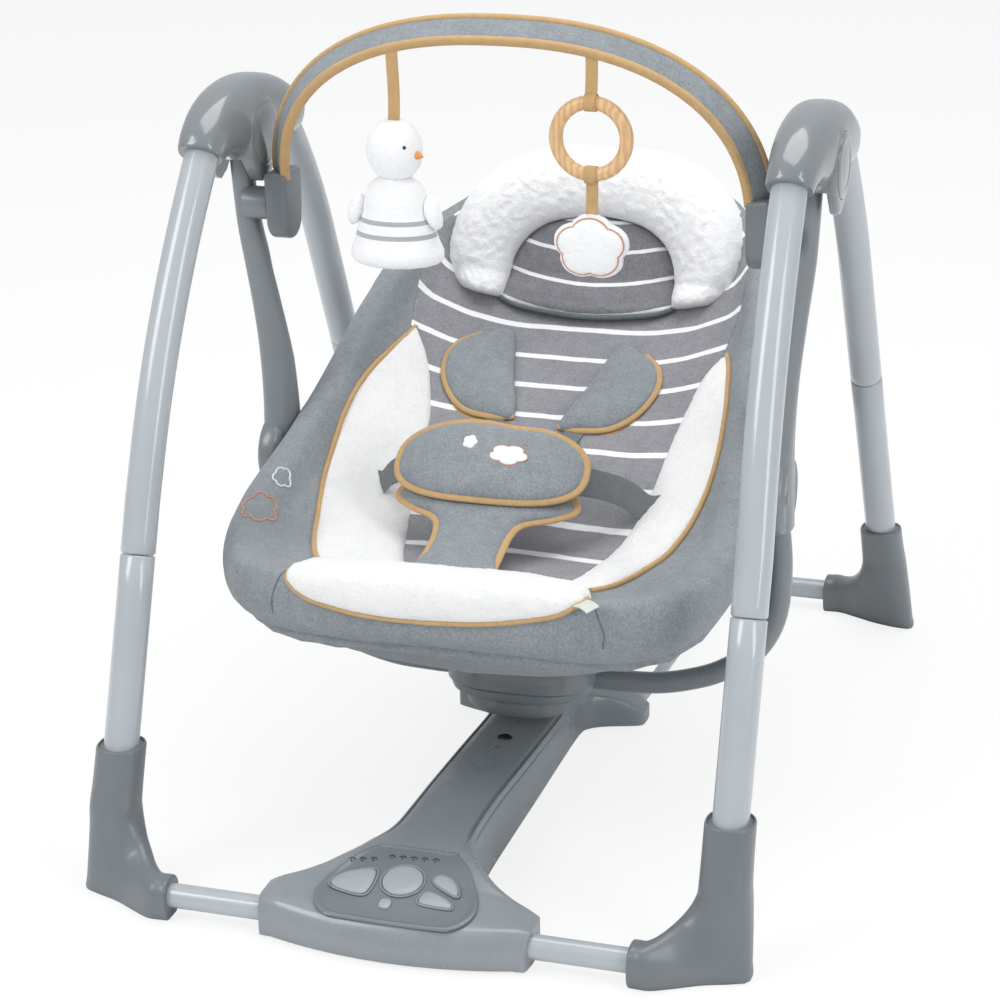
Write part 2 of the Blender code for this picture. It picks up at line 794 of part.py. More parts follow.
def make_hubs():
    casing = hub_loft()
    boss = yz_plate("boss", hub_boss_outline(), HUB_IN, HUB_OUT)
    bevel(boss, HUB_EDGE, 1, 50.0)
    join(casing, boss)
    lens = ball("lens", (HUB_IN, HUB_Y, HUB_Z), (LENS_OUT, LENS_R, LENS_R), 6, 12)
    join(casing, lens)
    slot = yz_plate("slot", hub_slot_outline(), HUB_SLOT_IN, HUB_SLOT_OUT, CUTTERS)
    nose = front_leg(FRONT_NOSE_Z - 0.020)
    deep = front_leg(FRONT_NOSE_Z + NOSE_DEPTH + 0.001)
    mid = front_leg(FRONT_NOSE_Z)
    tip = deep + (deep - mid) * 0.02
    cut(casing,
        slot,
        cutter_rod(mid + (mid - deep).normalized() * 0.02, tip, LEG_R + GAP),
        cutter_rod((0.2250, PIVOT_Y, PIVOT_Z), (PIVOT_OUT, PIVOT_Y, PIVOT_Z), PIVOT_R + GAP),
        cutter_rod((0.2235, HUB_Y, HUB_Z), (HUB_OUT + 0.01, HUB_Y, HUB_Z), AXLE_R + GAP),
        cutter_rod((HUB_OUT - 0.0062, HUB_Y, HUB_Z), (HUB_OUT + 0.01, HUB_Y, HUB_Z), CAP_R + GAP))
    finish_pair(casing, "hub_casing", GLOSS, angle=50.0)

    axle = rod("axle", (0.2240, HUB_Y, HUB_Z), (HUB_OUT - 0.0066, HUB_Y, HUB_Z), AXLE_R)
    finish_pair(axle, "arm_axle", STEEL)
    pin = rod("pin", (0.2254, PIVOT_Y, PIVOT_Z), (PIVOT_OUT - GAP, PIVOT_Y, PIVOT_Z), PIVOT_R)
    finish_pair(pin, "rear_leg_pin", STEEL)

    low = HUB_OUT - 0.0062 + CAP_TRAVEL + GAP
    cap = rod("cap", (low, HUB_Y, HUB_Z), (HUB_OUT + 0.0006, HUB_Y, HUB_Z), CAP_R, 16)
    dome = ball("dome", (HUB_OUT, HUB_Y, HUB_Z), (CAP_PROUD, CAP_R * 0.97, CAP_R * 0.97), 6, 16)
    join(cap, dome)
    finish_pair(cap, "fold_button", GLOSS, "fold_button_right", "fold_button_left", 50.0)


ARM_LINE = (
    (0.2443, -0.0180, 0.5400),
    (0.2408, -0.0168, 0.4800),
    (0.2358, -0.0150, 0.4400),
    (0.2302, -0.0135, 0.4000),
    (0.2254, -0.0128, 0.3600),
    (0.2230, -0.0125, 0.3200),
    (0.2228, -0.0125, 0.2900),
)
LOWER_LINE = (
    (0.2228, 0.2450),
    (0.2262, 0.2000),
    (0.2220, 0.1550),
    (0.2050, 0.1220),
    (0.1770, 0.1010),
    (0.1500, 0.0895),
    (0.1180, 0.0820),
    (0.0800, 0.0800),
)


def make_arms():
    arm = bent_tube("arm", spline_points(ARM_LINE, 7), ARM_R, 10)
    eye = rod("eye", (0.2443 - ARM_R, HUB_Y, HUB_Z), (0.2443 + ARM_R, HUB_Y, HUB_Z), ARM_EYE_R, 16)
    disc_edge = circle((JOINT_Y, JOINT_Z), JOINT_R, 20)
    disc = yz_plate("disc", disc_edge, JOINT_IN, JOINT_OUT)
    bevel(disc, 0.0050, 1, 15.0)
    neck = yz_plate("neck", [(JOINT_Y - 0.022, JOINT_Z + 0.022), (JOINT_Y - ARM_R, JOINT_Z + 0.080),
                             (JOINT_Y + ARM_R, JOINT_Z + 0.080), (JOINT_Y + 0.022, JOINT_Z + 0.022)],
                    0.2225 - 0.0075, 0.2225 + 0.0075)
    bevel(neck, 0.0040, 1, 40.0)
    pin_low = JOINT_IN - 2 * (PLATE_T + GAP) - 0.002
    pin = rod("pin", (pin_low, JOINT_Y, JOINT_Z), (JOINT_IN + 0.004, JOINT_Y, JOINT_Z), JOINT_PIN_R, 16)
    boss = rod("boss", (SOCKET_OUT + GAP, SOCKET_Y, SOCKET_Z), (0.2400, SOCKET_Y, SOCKET_Z), BOSS_R, 14)
    boss_pin = rod("pin", (SOCKET_IN + 0.006, SOCKET_Y, SOCKET_Z), (0.2400, SOCKET_Y, SOCKET_Z),
                   SOCKET_PIN_R, 12)
    join(arm, eye, disc, neck, pin, boss, boss_pin)
    low_mid = Vector((0.2245, JOINT_Y, 0.2225))
    top_mid = Vector((LOWER_LINE[0][0], JOINT_Y, LOWER_LINE[0][1] + 0.0005))
    cut(arm,
        cutter_rod((HUB_IN, HUB_Y, HUB_Z), (HUB_OUT, HUB_Y, HUB_Z), AXLE_R + GAP),
        cutter_rod(low_mid, top_mid, TUBE_R + 2 * GAP))
    finish_pair(arm, "swing_arm", MATTE, "swing")


def lower_tube_points():
    right = [(x, JOINT_Y, z) for x, z in LOWER_LINE]
    half = spline_points(right, 7)
    left = [Vector((-p.x, p.y, p.z)) for p in reversed(half)]
    return half + left


def make_lower_tube():
    tube = bent_tube("tube", lower_tube_points(), TUBE_R, 8, TUBE_WALL)
    finish(tube, "lower_tube", MATTE, "swing")


def super_outline(half_x, half_y, centre_y, power, steps):
    points = []
    for i in range(steps):
        a = 2 * math.pi * i / steps
        c = math.cos(a)
        s = math.sin(a)
        x = half_x * math.copysign(abs(c) ** (2 / power), c)
        y = half_y * math.copysign(abs(s) ** (2 / power), s)
        points.append((x, centre_y + y))
    return points


def make_drive_unit():
    half_y = (DRIVE_BACK - DRIVE_FRONT) / 2
    mid_y = (DRIVE_BACK + DRIVE_FRONT) / 2
    top = xy_plate("top", super_outline(DRIVE_HALF, half_y, mid_y, 3.0, 24), TUBE_Z + GAP / 2, DRIVE_TOP)
    bevel(top, 0.0090, 2, 50.0)
    channel = [(-0.12, JOINT_Y, TUBE_Z), (0.12, JOINT_Y, TUBE_Z)]
    cut(top, cutter_rod(channel[0], channel[1], TUBE_R + GAP))
    finish(top, "drive_cover_top", MATTE, "swing", 50.0)
    pod_y = mid_y - 0.006
    low_edge = super_outline(DRIVE_HALF - 0.003, half_y - 0.003, mid_y, 3.0, 24)
    low = xy_plate("low", low_edge, POD_TOP - 0.0040, TUBE_Z - GAP / 2)
    bevel(low, 0.0040, 1, 50.0)
    pod = xy_plate("pod", super_outline(POD_HALF, half_y - 0.004, pod_y, 2.3, 20), POD_BOTTOM, POD_TOP)
    bevel(pod, 0.0080, 2, 50.0)
    join(low, pod)
    cut(low,
        cutter_rod(channel[0], channel[1], TUBE_R + GAP),
        cutter_rod((0, JOINT_Y, POD_BOTTOM + 0.003), (0, JOINT_Y, TUBE_Z + 0.01), MAGNET_R + GAP))
    finish(low, "drive_cover_bottom", MATTE, "swing", 50.0)
    base = POD_BOTTOM + 0.003 + GAP
    magnet = rod("magnet", (0, JOINT_Y, base), (0, JOINT_Y, base + MAGNET_H), MAGNET_R)
    finish(magnet, "drive_magnet", STEEL, "swing")


# Base unit: rows from the front edge to the rear wings, each with its half width,
# how far its ends bow back and its height from 0 at the rim to 1 on top
BASE_ROWS = (
    (-0.3965, 0.1000, 0.018, 0.00),
    (-0.3985, 0.1075, 0.018, 0.45),
    (-0.3925, 0.1095, 0.018, 0.92),
    (-0.3820, 0.1105, 0.016, 1.00),
    (-0.3680, 0.1105, 0.010, 1.00),
    (-0.3540, 0.1105, 0.004, 1.00),
    (-0.3450, 0.1085, 0.000, 1.00),
    (-0.3380, 0.0880, 0.000, 1.00),
    (-0.3280, 0.0690, 0.000, 1.00),
    (-0.3120, 0.0530, 0.000, 1.00),
    (-0.2950, 0.0440, 0.000, 1.00),
    (-0.2700, 0.0380, 0.000, 1.00),
    (-0.2300, 0.0360, 0.000, 1.00),
    (-0.1700, 0.0360, 0.000, 1.00),
    (-0.1000, 0.0365, 0.000, 1.00),
    (-0.0300, 0.0365, 0.000, 1.00),
    (0.0280, 0.0375, 0.000, 1.00),
    (0.0420, 0.0430, 0.000, 1.00),
    (0.0500, 0.0560, -0.006, 1.00),
    (0.0560, 0.0740, -0.014, 1.00),
    (0.0610, 0.0860, -0.016, 1.00),
    (0.0690, 0.0885, -0.008, 1.00),
    (0.0790, 0.0885, 0.000, 1.00),
    (0.0840, 0.0880, 0.000, 0.96),
    (0.0870, 0.0870, 0.000, 0.60),
    (0.0880, 0.0865, 0.000, 0.00),
)
BASE_RIDGE = (
    (-0.3985, 0.0300), (-0.3820, 0.0350), (-0.3120, 0.0540), (-0.2700, 0.0550), (-0.2000, 0.0535),
    (-0.1200, 0.0480), (-0.0780, 0.0450), (-0.0300, 0.0415), (0.0200, 0.0400), (0.0880, 0.0390),
)
BASE_SPAN = max(row[1] for row in BASE_ROWS)
BASE_END_Z = 0.0365
WING_Y = 0.0350
WING_SLOPE_Y = 0.0100
WING_DROP = 0.0300
PANEL_SLOPE = math.atan2(0.0540 - 0.0350, 0.3820 - 0.3120)


def base_top(x, y):
    """Height of the base unit's top."""
    ridge = lookup(BASE_RIDGE, y)
    share = min(1.0, abs(x) / BASE_SPAN)
    front = min(1.0, max(0.0, (-0.322 - y) / 0.020))
    z = ridge + (BASE_END_Z - ridge) * front * share ** 2.5
    wing = min(1.0, max(0.0, (y - WING_SLOPE_Y) / (WING_Y - WING_SLOPE_Y)))
    return z - WING_DROP * wing * share ** 2


def base_solid(name, rows, columns, inset, low, drop, group=None):
    """Half of the base's outer or inner form, then mirrored across the middle plane."""
    bm = bmesh.new()
    tops = []
    bottoms = []
    for y, half, bow, height in rows:
        wide = half - inset
        top = []
        bottom = []
        for share in columns:
            x = wide * share
            yy = y + bow * (x / BASE_SPAN) ** 2
            rim = 0.0045 * max(0.0, (share - 0.82) / 0.18) ** 2
            z = low + (base_top(x, y) - drop - rim - low) * height
            top.append(bm.verts.new((x, yy, z)))
            foot = Vector((x, yy, low))
            if bottoms and y < last_y:
                foot = bottoms[-1][len(bottom)].co.copy()
            bottom.append(bm.verts.new(foot))
        last_y = y
        tops.append(top)
        bottoms.append(bottom)
    last = len(columns) - 1
    for layer in (tops, bottoms):
        for first, second in zip(layer, layer[1:]):
            for k in range(last):
                bm.faces.new((first[k], first[k + 1], second[k + 1], second[k]))
    for i in range(len(rows) - 1):
        bm.faces.new((tops[i][last], tops[i + 1][last], bottoms[i + 1][last], bottoms[i][last]))
    bmesh.ops.remove_doubles(bm, verts=bm.verts, dist=0.00005)
    solid = add_mesh(name, bm, group)
    return mirror_half(solid)


def base_inner_rows():
    """The rows of the hollow inside, short of the front and rear walls and of the wings."""
    full = [row for row in BASE_ROWS if row[3] >= 1.0 and row[0] < WING_Y]
    front = (BASE_ROWS[1][0] + 3 * BASE_WALL, full[0][1] - 0.002, full[0][2], 1.0)
    back = (BASE_ROWS[-1][0] - 2 * BASE_WALL, full[-1][1], full[-1][2], 1.0)
    return [front] + [row for row in full if front[0] < row[0] < back[0]] + [back]


def mirror_half(obj):
    step = obj.modifiers.new("mirror", "MIRROR")
    step.use_clip = True
    step.use_mirror_merge = True
    step.merge_threshold = 0.00005
    bake(obj)
    return weld(obj)


def slope_place(x, y, lift):
    """A frame on the control panel: outline x across, y up the slope, z out of it."""
    z = base_top(0.0, y)
    turn = Matrix.Rotation(PANEL_SLOPE, 4, "X")
    return Matrix.Translation((x, y, z)) @ turn @ Matrix.Translation((0, 0, lift))


BUTTONS = {
    "speed_button": ((0.0, -0.3460), circle((0, 0), 0.0160, 18)),
    "timer_button": ((-0.0400, -0.3520), smooth_outline(
        [(0.0150, 0.0135), (0.0150, -0.0115), (-0.0020, -0.0120), (-0.0150, -0.0060), (-0.0060, 0.0070)], 2)),
    "sound_button": ((0.0330, -0.3440), smooth_outline(
        [(-0.0060, 0.0080), (0.0040, 0.0060), (0.0120, -0.0030), (0.0120, -0.0110), (-0.0080, 0.0000)], 2)),
    "volume_button": ((0.0330, -0.3600), smooth_outline(
        [(-0.0130, -0.0060), (-0.0090, 0.0060), (0.0090, -0.0010), (0.0110, -0.0080)], 3)),
    "power_switch": ((-0.0060, -0.3715), smooth_outline(
        [(0.0038, 0.0042), (-0.0038, 0.0042), (-0.0038, -0.0042), (0.0038, -0.0042)], 2)),
}


def panel_grid(lift, thickness):
    rows = ((-0.3900, 0.0380), (-0.3870, 0.0530), (-0.3780, 0.0620), (-0.3650, 0.0655), (-0.3500, 0.0620),
            (-0.3350, 0.0540), (-0.3220, 0.0450), (-0.3110, 0.0340), (-0.3080, 0.0280))
    shares = (-1.0, -0.6, 0.0, 0.6, 1.0)
    bm = bmesh.new()
    layers = []
    for up in (lift, lift + thickness):
        layer = []
        for y, half in rows:
            layer.append([bm.verts.new((half * s, y, base_top(half * s, y) + up)) for s in shares])
        layers.append(layer)
    count = len(shares)
    for layer in layers:
        for first, second in zip(layer, layer[1:]):
            for k in range(count - 1):
                bm.faces.new((first[k], first[k + 1], second[k + 1], second[k]))
    bottom, top = layers
    loops = []
    for layer in layers:
        loop = list(layer[0]) + [row[-1] for row in layer[1:]]
        loop += list(reversed(layer[-1][:-1])) + [row[0] for row in reversed(layer[1:-1])]
        loops.append(loop)
    n = len(loops[0])
    for k in range(n):
        bm.faces.new((loops[0][k], loops[0][(k + 1) % n], loops[1][(k + 1) % n], loops[1][k]))
    return bm


def make_base():
    shell = base_solid("base", BASE_ROWS, (0.0, 0.45, 0.82, 1.0), 0.0, BASE_BOTTOM, 0.0)
    full = base_inner_rows()
    rows = [(*full[0][:3], 0.0), (*full[0][:3], 0.9)] + full[1:] + [(*full[-1][:3], 0.0)]
    cut(shell, base_solid("inner", rows, (0.0, 0.6, 1.0), BASE_WALL, BASE_BOTTOM - 0.01, BASE_WALL, CUTTERS))
    panel = add_mesh("panel", panel_grid(GAP, PANEL_T))
    cut(shell,
        cutter_rod((-0.13, FRONT_BAR_Y, FRONT_BAR_Z), (0.13, FRONT_BAR_Y, FRONT_BAR_Z), BAR_R + GAP))
    for side in (1, -1):
        start, end = brace_line(side)
        cut(shell, cutter_rod(start, start.lerp(end, 0.15), BRACE_R + 2 * GAP))
    window = [(-0.0580, -0.3600), (-0.0480, -0.3740), (-0.0120, -0.3810), (0.0420, -0.3740),
              (0.0540, -0.3620), (0.0460, -0.3290), (0.0200, -0.3240), (-0.0440, -0.3300)]
    cut(shell, xy_plate("cutter", window, 0.0200, 0.0700, CUTTERS))
    for name, (spot, outline) in BUTTONS.items():
        grown = []
        for x, y in outline:
            r = math.hypot(x, y)
            k = 1.0 + BUTTON_GAP / r
            extra = SWITCH_TRAVEL * (1 if x > 0 else 0) if name == "power_switch" else 0.0
            grown.append((x * k + extra, y * k))
        place = slope_place(spot[0], spot[1], 0.0)
        cut(panel, plate("cutter", grown, 0.020, place, CUTTERS))
        key = plate(name, outline, BUTTON_DEEP,
                    slope_place(spot[0], spot[1], PANEL_T + BUTTON_PROUD - BUTTON_DEEP / 2))
        bevel(key, 0.0007, 1, 50.0)
        finish(key, name, KEY, name)
    lens = circle((0, WINDOW_Y), WINDOW_R, 18)
    cut(shell, xy_plate("cutter", lens, 0.030, 0.060, CUTTERS))
    finish(shell, "base_housing", MATTE)
    finish(panel, "control_panel", MATTE)
    make_base_inside()


def make_base_inside():
    edge = []
    inset = BASE_WALL + 2 * GAP
    rows = base_inner_rows()
    for y, half, bow, height in rows:
        wide = half - inset
        edge.append((wide, y + bow * (wide / BASE_SPAN) ** 2))
    edge[0] = (edge[0][0], edge[0][1] + 2 * GAP)
    edge[-1] = (edge[-1][0], edge[-1][1] - 2 * GAP)
    outline = edge + [(-x, y) for x, y in reversed(edge)]
    low = BASE_BOTTOM + 0.0002
    cover = xy_plate("cover", outline, low, low + COVER_T)
    door_edge = [(-0.0270, -0.2450), (0.0270, -0.2450), (0.0270, -0.1350), (-0.0270, -0.1350)]
    hole_edge = [(x * (1 + GAP / abs(x)), y + math.copysign(GAP, y + 0.19)) for x, y in door_edge]
    shelf = low + COVER_T + GAP
    tray = block("tray", (-0.0310, -0.2500, low + COVER_T / 2), (0.0310, -0.1300, 0.0370))
    join(cover, tray)
    cut(cover, xy_plate("cutter", hole_edge, low - 0.01, shelf, CUTTERS))
    for side in (-1, 1):
        cell = (side * 0.0140, shelf + 0.0165)
        cut(cover,
            block("cutter", (cell[0] - 0.0110, -0.2430, low), (cell[0] + 0.0110, -0.1370, cell[1]), CUTTERS),
            cutter_rod((cell[0], -0.2436, cell[1]), (cell[0], -0.1364, cell[1]), 0.0130))
    door = xy_plate("door", door_edge, low, low + COVER_T)
    finish(door, "battery_door", MATTE)
    for x in (-BOARD_POST_X, BOARD_POST_X):
        post = rod("post", (x, BOARD_Y, low + COVER_T / 2), (x, BOARD_Y, BOARD_Z - GAP), BOARD_POST_R, 6)
        join(cover, post)
    finish(cover, "base_cover", MATTE)
    board = block("board", (-0.0300, -0.3480, BOARD_Z), (0.0300, -0.2900, BOARD_Z + BOARD_T))
    finish(board, "circuit_board", (BOARD_GREEN, 0.5, 0.0))
    coil = rod("coil", (0, HUB_Y, shelf), (0, HUB_Y, shelf + COIL_H), COIL_R, 20)
    cut(coil, cutter_rod((0, HUB_Y, shelf - 0.01), (0, HUB_Y, shelf + COIL_H + 0.01), 0.0060))
    finish(coil, "drive_coil", (COPPER, 0.4, 0.8))


def brace_line(side):
    """From inside the base's wing to the top of the rear bar."""
    top = REAR_BAR_Z + BAR_R + GAP + BRACE_R
    start = Vector((side * BRACE_X, BRACE_START_Y, BRACE_Z))
    end = Vector((side * BRACE_END_X, REAR_BAR_Y - 0.004, top + 0.0005))
    return start, end


def make_braces():
    """Straight rods from the base's wings to hooks over the rear bar."""
    start, end = brace_line(1)
    brace = rod("brace", start.lerp(end, 0.004), end, BRACE_R, 12)
    centre = (REAR_BAR_Y, REAR_BAR_Z)
    outline = arc(centre, HOOK_R, 118, -12, 10) + arc(centre, BAR_R + 2 * GAP, -12, 118, 10)
    hook = yz_plate("hook", outline, BRACE_END_X - HOOK_HALF, BRACE_END_X + HOOK_HALF)
    join(brace, hook)
    finish_pair(brace, "brace_rod", PAINT)


# Seat: half of the rim's crest from the head to the foot
RIM = (
    (0.000, 0.300, 0.478),
    (0.080, 0.288, 0.462),
    (0.138, 0.250, 0.430),
    (0.164, 0.200, 0.410),
    (0.175, 0.145, 0.390),
    (0.183, 0.080, 0.356),
    (0.190, 0.010, 0.319),
    (0.198, -0.050, 0.293),
    (0.203, -0.105, 0.272),
    (0.197, -0.160, 0.258),
    (0.174, -0.212, 0.252),
    (0.125, -0.247, 0.255),
    (0.060, -0.262, 0.262),
    (0.000, -0.265, 0.264),
)
FLOOR_LINE = (
    (-0.265, 0.264), (-0.232, 0.253), (-0.200, 0.243), (-0.150, 0.235), (-0.080, 0.235),
    (-0.020, 0.247), (0.030, 0.270), (0.254, 0.372), (0.282, 0.400), (0.294, 0.440),
    (0.300, 0.480),
)
UNDER_LINE = (
    (-0.290, 0.220), (-0.250, 0.185), (-0.200, 0.158), (-0.120, 0.128), (-0.060, 0.1100),
    (0.038, 0.1100), (0.100, 0.165), (0.180, 0.240), (0.250, 0.310), (0.290, 0.370), (0.330, 0.450),
)
RIM_STEPS = 22
RIM_DROP = 0.052
SPINE_SHARE = 0.62
SPINE_Y = -0.010


def rim_points(steps):
    return spline_points(RIM, steps)


def seat_ring(rim, f, line, edge_drop, power, flat=0.0):
    """A ring of the seat's skin at the share f of the way from the middle line to the rim."""
    points = []
    for crest in rim:
        anchor = SPINE_Y + SPINE_SHARE * (crest.y - SPINE_Y)
        x = crest.x * f
        y = anchor + (crest.y - anchor) * f
        middle = lookup(line, y)
        z = middle + (crest.z - edge_drop - middle) * max(0.0, f - flat) ** power / (1 - flat) ** power
        points.append(Vector((x, y, z)))
    return points


def seat_grid():
    rim = rim_points(RIM_STEPS)
    rings = []
    for f in (0.0, 0.45, 0.72, 0.90, 1.00):
        rings.append(seat_ring(rim, f, UNDER_LINE, RIM_DROP, 2.6))
    for f, drop in ((1.060, 0.040), (ROLL_OUT, 0.022), (1.055, 0.005), (1.000, 0.000), (0.930, 0.003)):
        ring = []
        for crest in rim:
            anchor = SPINE_Y + SPINE_SHARE * (crest.y - SPINE_Y)
            ring.append(Vector((crest.x * f, anchor + (crest.y - anchor) * f, crest.z - drop)))
        rings.append(ring)
    for f in (ROLL_IN, 0.74, 0.58, 0.36, 0.0):
        rings.append(seat_ring(rim, f, FLOOR_LINE, 0.004, 3.4))
    bm = bmesh.new()
    grid = [[bm.verts.new(p) for p in ring] for ring in rings]
    for first, second in zip(grid, grid[1:]):
        for k in range(len(rim) - 1):
            bm.faces.new((first[k], first[k + 1], second[k + 1], second[k]))
    bmesh.ops.remove_doubles(bm, verts=bm.verts, dist=0.00005)
    for vert in bm.verts:
        if abs(vert.co.x) < 0.0001:
            vert.co.x = 0.0
    return bm


def keep_side(obj, point, normal):
    """Cut the object by a plane, keep the side that the normal points away from, close it."""
    bm = bmesh.new()
    bm.from_mesh(obj.data)
    bmesh.ops.bisect_plane(
        bm, geom=bm.verts[:] + bm.edges[:] + bm.faces[:], dist=0.000001,
        plane_co=point, plane_no=normal, clear_outer=True)
    bmesh.ops.holes_fill(bm, edges=[e for e in bm.edges if e.is_boundary], sides=0)
    bmesh.ops.triangulate(bm, faces=[f for f in bm.faces if len(f.verts) > 4])
    bmesh.ops.recalc_face_normals(bm, faces=bm.faces)
    bm.to_mesh(obj.data)
    bm.free()
    return obj


def grown(obj, amount):
    """A copy whose skin lies further out."""
    bm = bmesh.new()
    bm.from_mesh(obj.data)
    bm.normal_update()
    for vert in bm.verts:
        vert.co += vert.normal * amount
    return add_mesh("grown", bm, CUTTERS)


def joint_clearance(pad):
    """Room in the pad's sides for the joint plates and their pins."""
    low = JOINT_IN - PLATE_T - 2 * GAP - 2 * FRAME_R - 0.0010
    far = JOINT_OUT + 0.067
    for side in (1, -1):
        cut(pad,
            cutter_rod((side * low, JOINT_Y, JOINT_Z), (side * far, JOINT_Y, JOINT_Z), PLATE_R + 0.0040),
            cutter_rod((side * (JOINT_IN - 0.002), JOINT_Y, JOINT_Z), (side * far, JOINT_Y, JOINT_Z),
                       JOINT_R + 0.003))
    return pad


def make_seat():
    pad = add_mesh("seat", seat_grid())
    mirror_half(pad)
    back = bpy.data.objects.new("back", pad.data.copy())
    PARTS.objects.link(back)
    keep_side(pad, (0, SPLIT_Y, 0), (0, 1, 0))
    tilt = math.radians(RECLINE_DEG)
    keep_side(back, (0, SPLIT_Y + SPLIT_GAP, 0), (0, -1, 0))
    hinge = Vector((0, SPLIT_Y + SPLIT_GAP, JOINT_Z))
    keep_side(back, hinge, (0, -math.cos(tilt), math.sin(tilt)))
    joint_clearance(pad)
    joint_clearance(back)
    cut(pad, bent_tube("groove", frame_path(True), FRAME_R + GROOVE, 6, group=CUTTERS))
    triangulate(back)
    bed = grown(back, SOFT_GAP)
    head = cushion("head", head_outline(), HEAD_CROWN, head_place, 0.05)
    cut(head, bed)
    finish(head, "headrest", FLEECE, "backrest", 60.0)
    cut(back, bent_tube("groove", frame_path(False), FRAME_R + GROOVE, 6, group=CUTTERS))
    finish(pad, "seat_pad", CLOTH, "swing", 60.0)
    finish(back, "back_pad", CLOTH, "backrest", 60.0)
    return lining_height((pad, back))


def frame_line(front):
    """Half of the support tube, in a groove of the seat's underside."""
    points = []
    for crest in rim_points(40):
        if front and crest.y > JOINT_Y - 0.045:
            continue
        if not front and crest.y < JOINT_Y + 0.060:
            continue
        anchor = SPINE_Y + SPINE_SHARE * (crest.y - SPINE_Y)
        side = min(1.0, abs(crest.x) / 0.19)
        f = FRAME_SHARE + (0.97 - FRAME_SHARE) * side ** 2
        y = anchor + (crest.y - anchor) * f
        middle = lookup(UNDER_LINE, y)
        skin = middle + (crest.z - RIM_DROP - middle) * f ** 2.6
        points.append(Vector((crest.x * f, y, skin - FRAME_DROP)))
    return points


def plate_low(front):
    """Inner face of the seat frame's or the back frame's joint plate."""
    return JOINT_IN - (PLATE_T + GAP) * (2 if front else 1)


def frame_path(front):
    """The whole support tube from joint to joint."""
    joint = Vector((plate_low(front) + PLATE_T - FRAME_R - GAP, JOINT_Y, JOINT_Z))
    half = frame_line(front)
    if front:
        half = [joint, joint + Vector((0, -0.003, -0.028))] + half
    else:
        half = [joint, joint + Vector((0, 0.030, -0.004))] + list(reversed(half))
    picked = half[:2] + half[3:-2:3] + [half[-1]]
    right = spline_points(picked, 11)
    right[-1].x = 0.0
    left = [Vector((-p.x, p.y, p.z)) for p in reversed(right[:-1])]
    return right + left


def make_frames():
    for front in (True, False):
        low = plate_low(front)
        tube = bent_tube("frame", frame_path(front), FRAME_R, 6)
        for side in (1, -1):
            outer = sorted((side * (low + PLATE_T - GAP), side * 0.24))
            cut(tube, cutter_rod((outer[0], JOINT_Y, JOINT_Z), (outer[1], JOINT_Y, JOINT_Z), JOINT_R + 0.001))
            if not front:
                inner = sorted((side * 0.19, side * (low + GAP)))
                cut(tube, cutter_rod((inner[0], JOINT_Y, JOINT_Z), (inner[1], JOINT_Y, JOINT_Z),
                                     PLATE_R + 0.001))
            ends = sorted((side * low, side * (low + PLATE_T)))
            disc = rod("disc", (ends[0], JOINT_Y, JOINT_Z), (ends[1], JOINT_Y, JOINT_Z), PLATE_R, 18)
            join(tube, disc)
            cut(tube, cutter_rod((side * 0.19, JOINT_Y, JOINT_Z), (side * 0.23, JOINT_Y, JOINT_Z),
                                 JOINT_PIN_R + GAP))
        if front:
            finish(tube, "seat_frame", PAINT, "swing")
        else:
            finish(tube, "back_frame", PAINT, "backrest")


def head_place(u, v, w):
    """The headrest leans back and its wings turn forward."""
    lean = math.radians(HEAD_LEAN)
    y = HEAD_Y + v * math.sin(lean) - w * math.cos(lean) - HEAD_CURL * u * u
    z = HEAD_Z + v * math.cos(lean) + w * math.sin(lean)
    return (u, y, z)


def head_outline():
    half = [(0.000, 0.062), (0.045, 0.060), (0.086, 0.048), (0.116, 0.024), (0.133, -0.008), (0.139, -0.042),
            (0.132, -0.072), (0.108, -0.088), (0.050, -0.096), (0.000, -0.098)]
    full = half + [(-x, y) for x, y in reversed(half[1:-1])]
    return smooth_outline(full, 2)


def pad_place(centre, pitch):
    """A pad's own frame: v runs up its length, w out of its face, pitch leans it back."""
    p = math.radians(pitch)
    up = Vector((0, math.cos(p), math.sin(p)))
    out = Vector((0, -math.sin(p), math.cos(p)))

    def place(u, v, w):
        return Vector(centre) + Vector((u, 0, 0)) + up * v + out * (w - PAD_CURL * u * u)

    return place


def lining_height(objects):
    """A function that reads the height of the seat's lining over a spot."""
    trees = []
    for obj in objects:
        bm = bmesh.new()
        bm.from_mesh(obj.data)
        trees.append(BVHTree.FromBMesh(bm))
        bm.free()

    def height(x, y):
        hits = [tree.ray_cast(Vector((x, y, 1.0)), Vector((0, 0, -1)))[0] for tree in trees]
        return max(hit.z for hit in hits if hit)

    return height


def draped_place(centre, pitch, turn, height, lift):
    """A pad that follows the lining below it."""
    p = math.radians(pitch)
    t = math.radians(turn)
    out = Vector((0, -math.sin(p), math.cos(p)))

    def place(u, v, w):
        x = centre[0] + u * math.cos(t) - v * math.sin(t)
        y = centre[1] + (u * math.sin(t) + v * math.cos(t)) * math.cos(p)
        return Vector((x, y, height(x, y))) + out * (lift + w)

    return place


def crotch_place(u, v, w):
    """The crotch pad rises from the seat in an arc, up to the waist pad's back."""
    low = math.radians(CROTCH_START)
    high = math.radians(CROTCH_END)
    radius = CROTCH_L / (high - low)
    a = low + (high - low) * v / CROTCH_L
    lift = w - PAD_CURL * u * u * min(1.0, v / CROTCH_FLARE)
    y = CROTCH_Y + radius * (math.sin(a) - math.sin(low)) - lift * math.sin(a)
    z = CROTCH_Z + radius * (math.cos(low) - math.cos(a)) + lift * math.cos(a)
    return Vector((u, y, z))


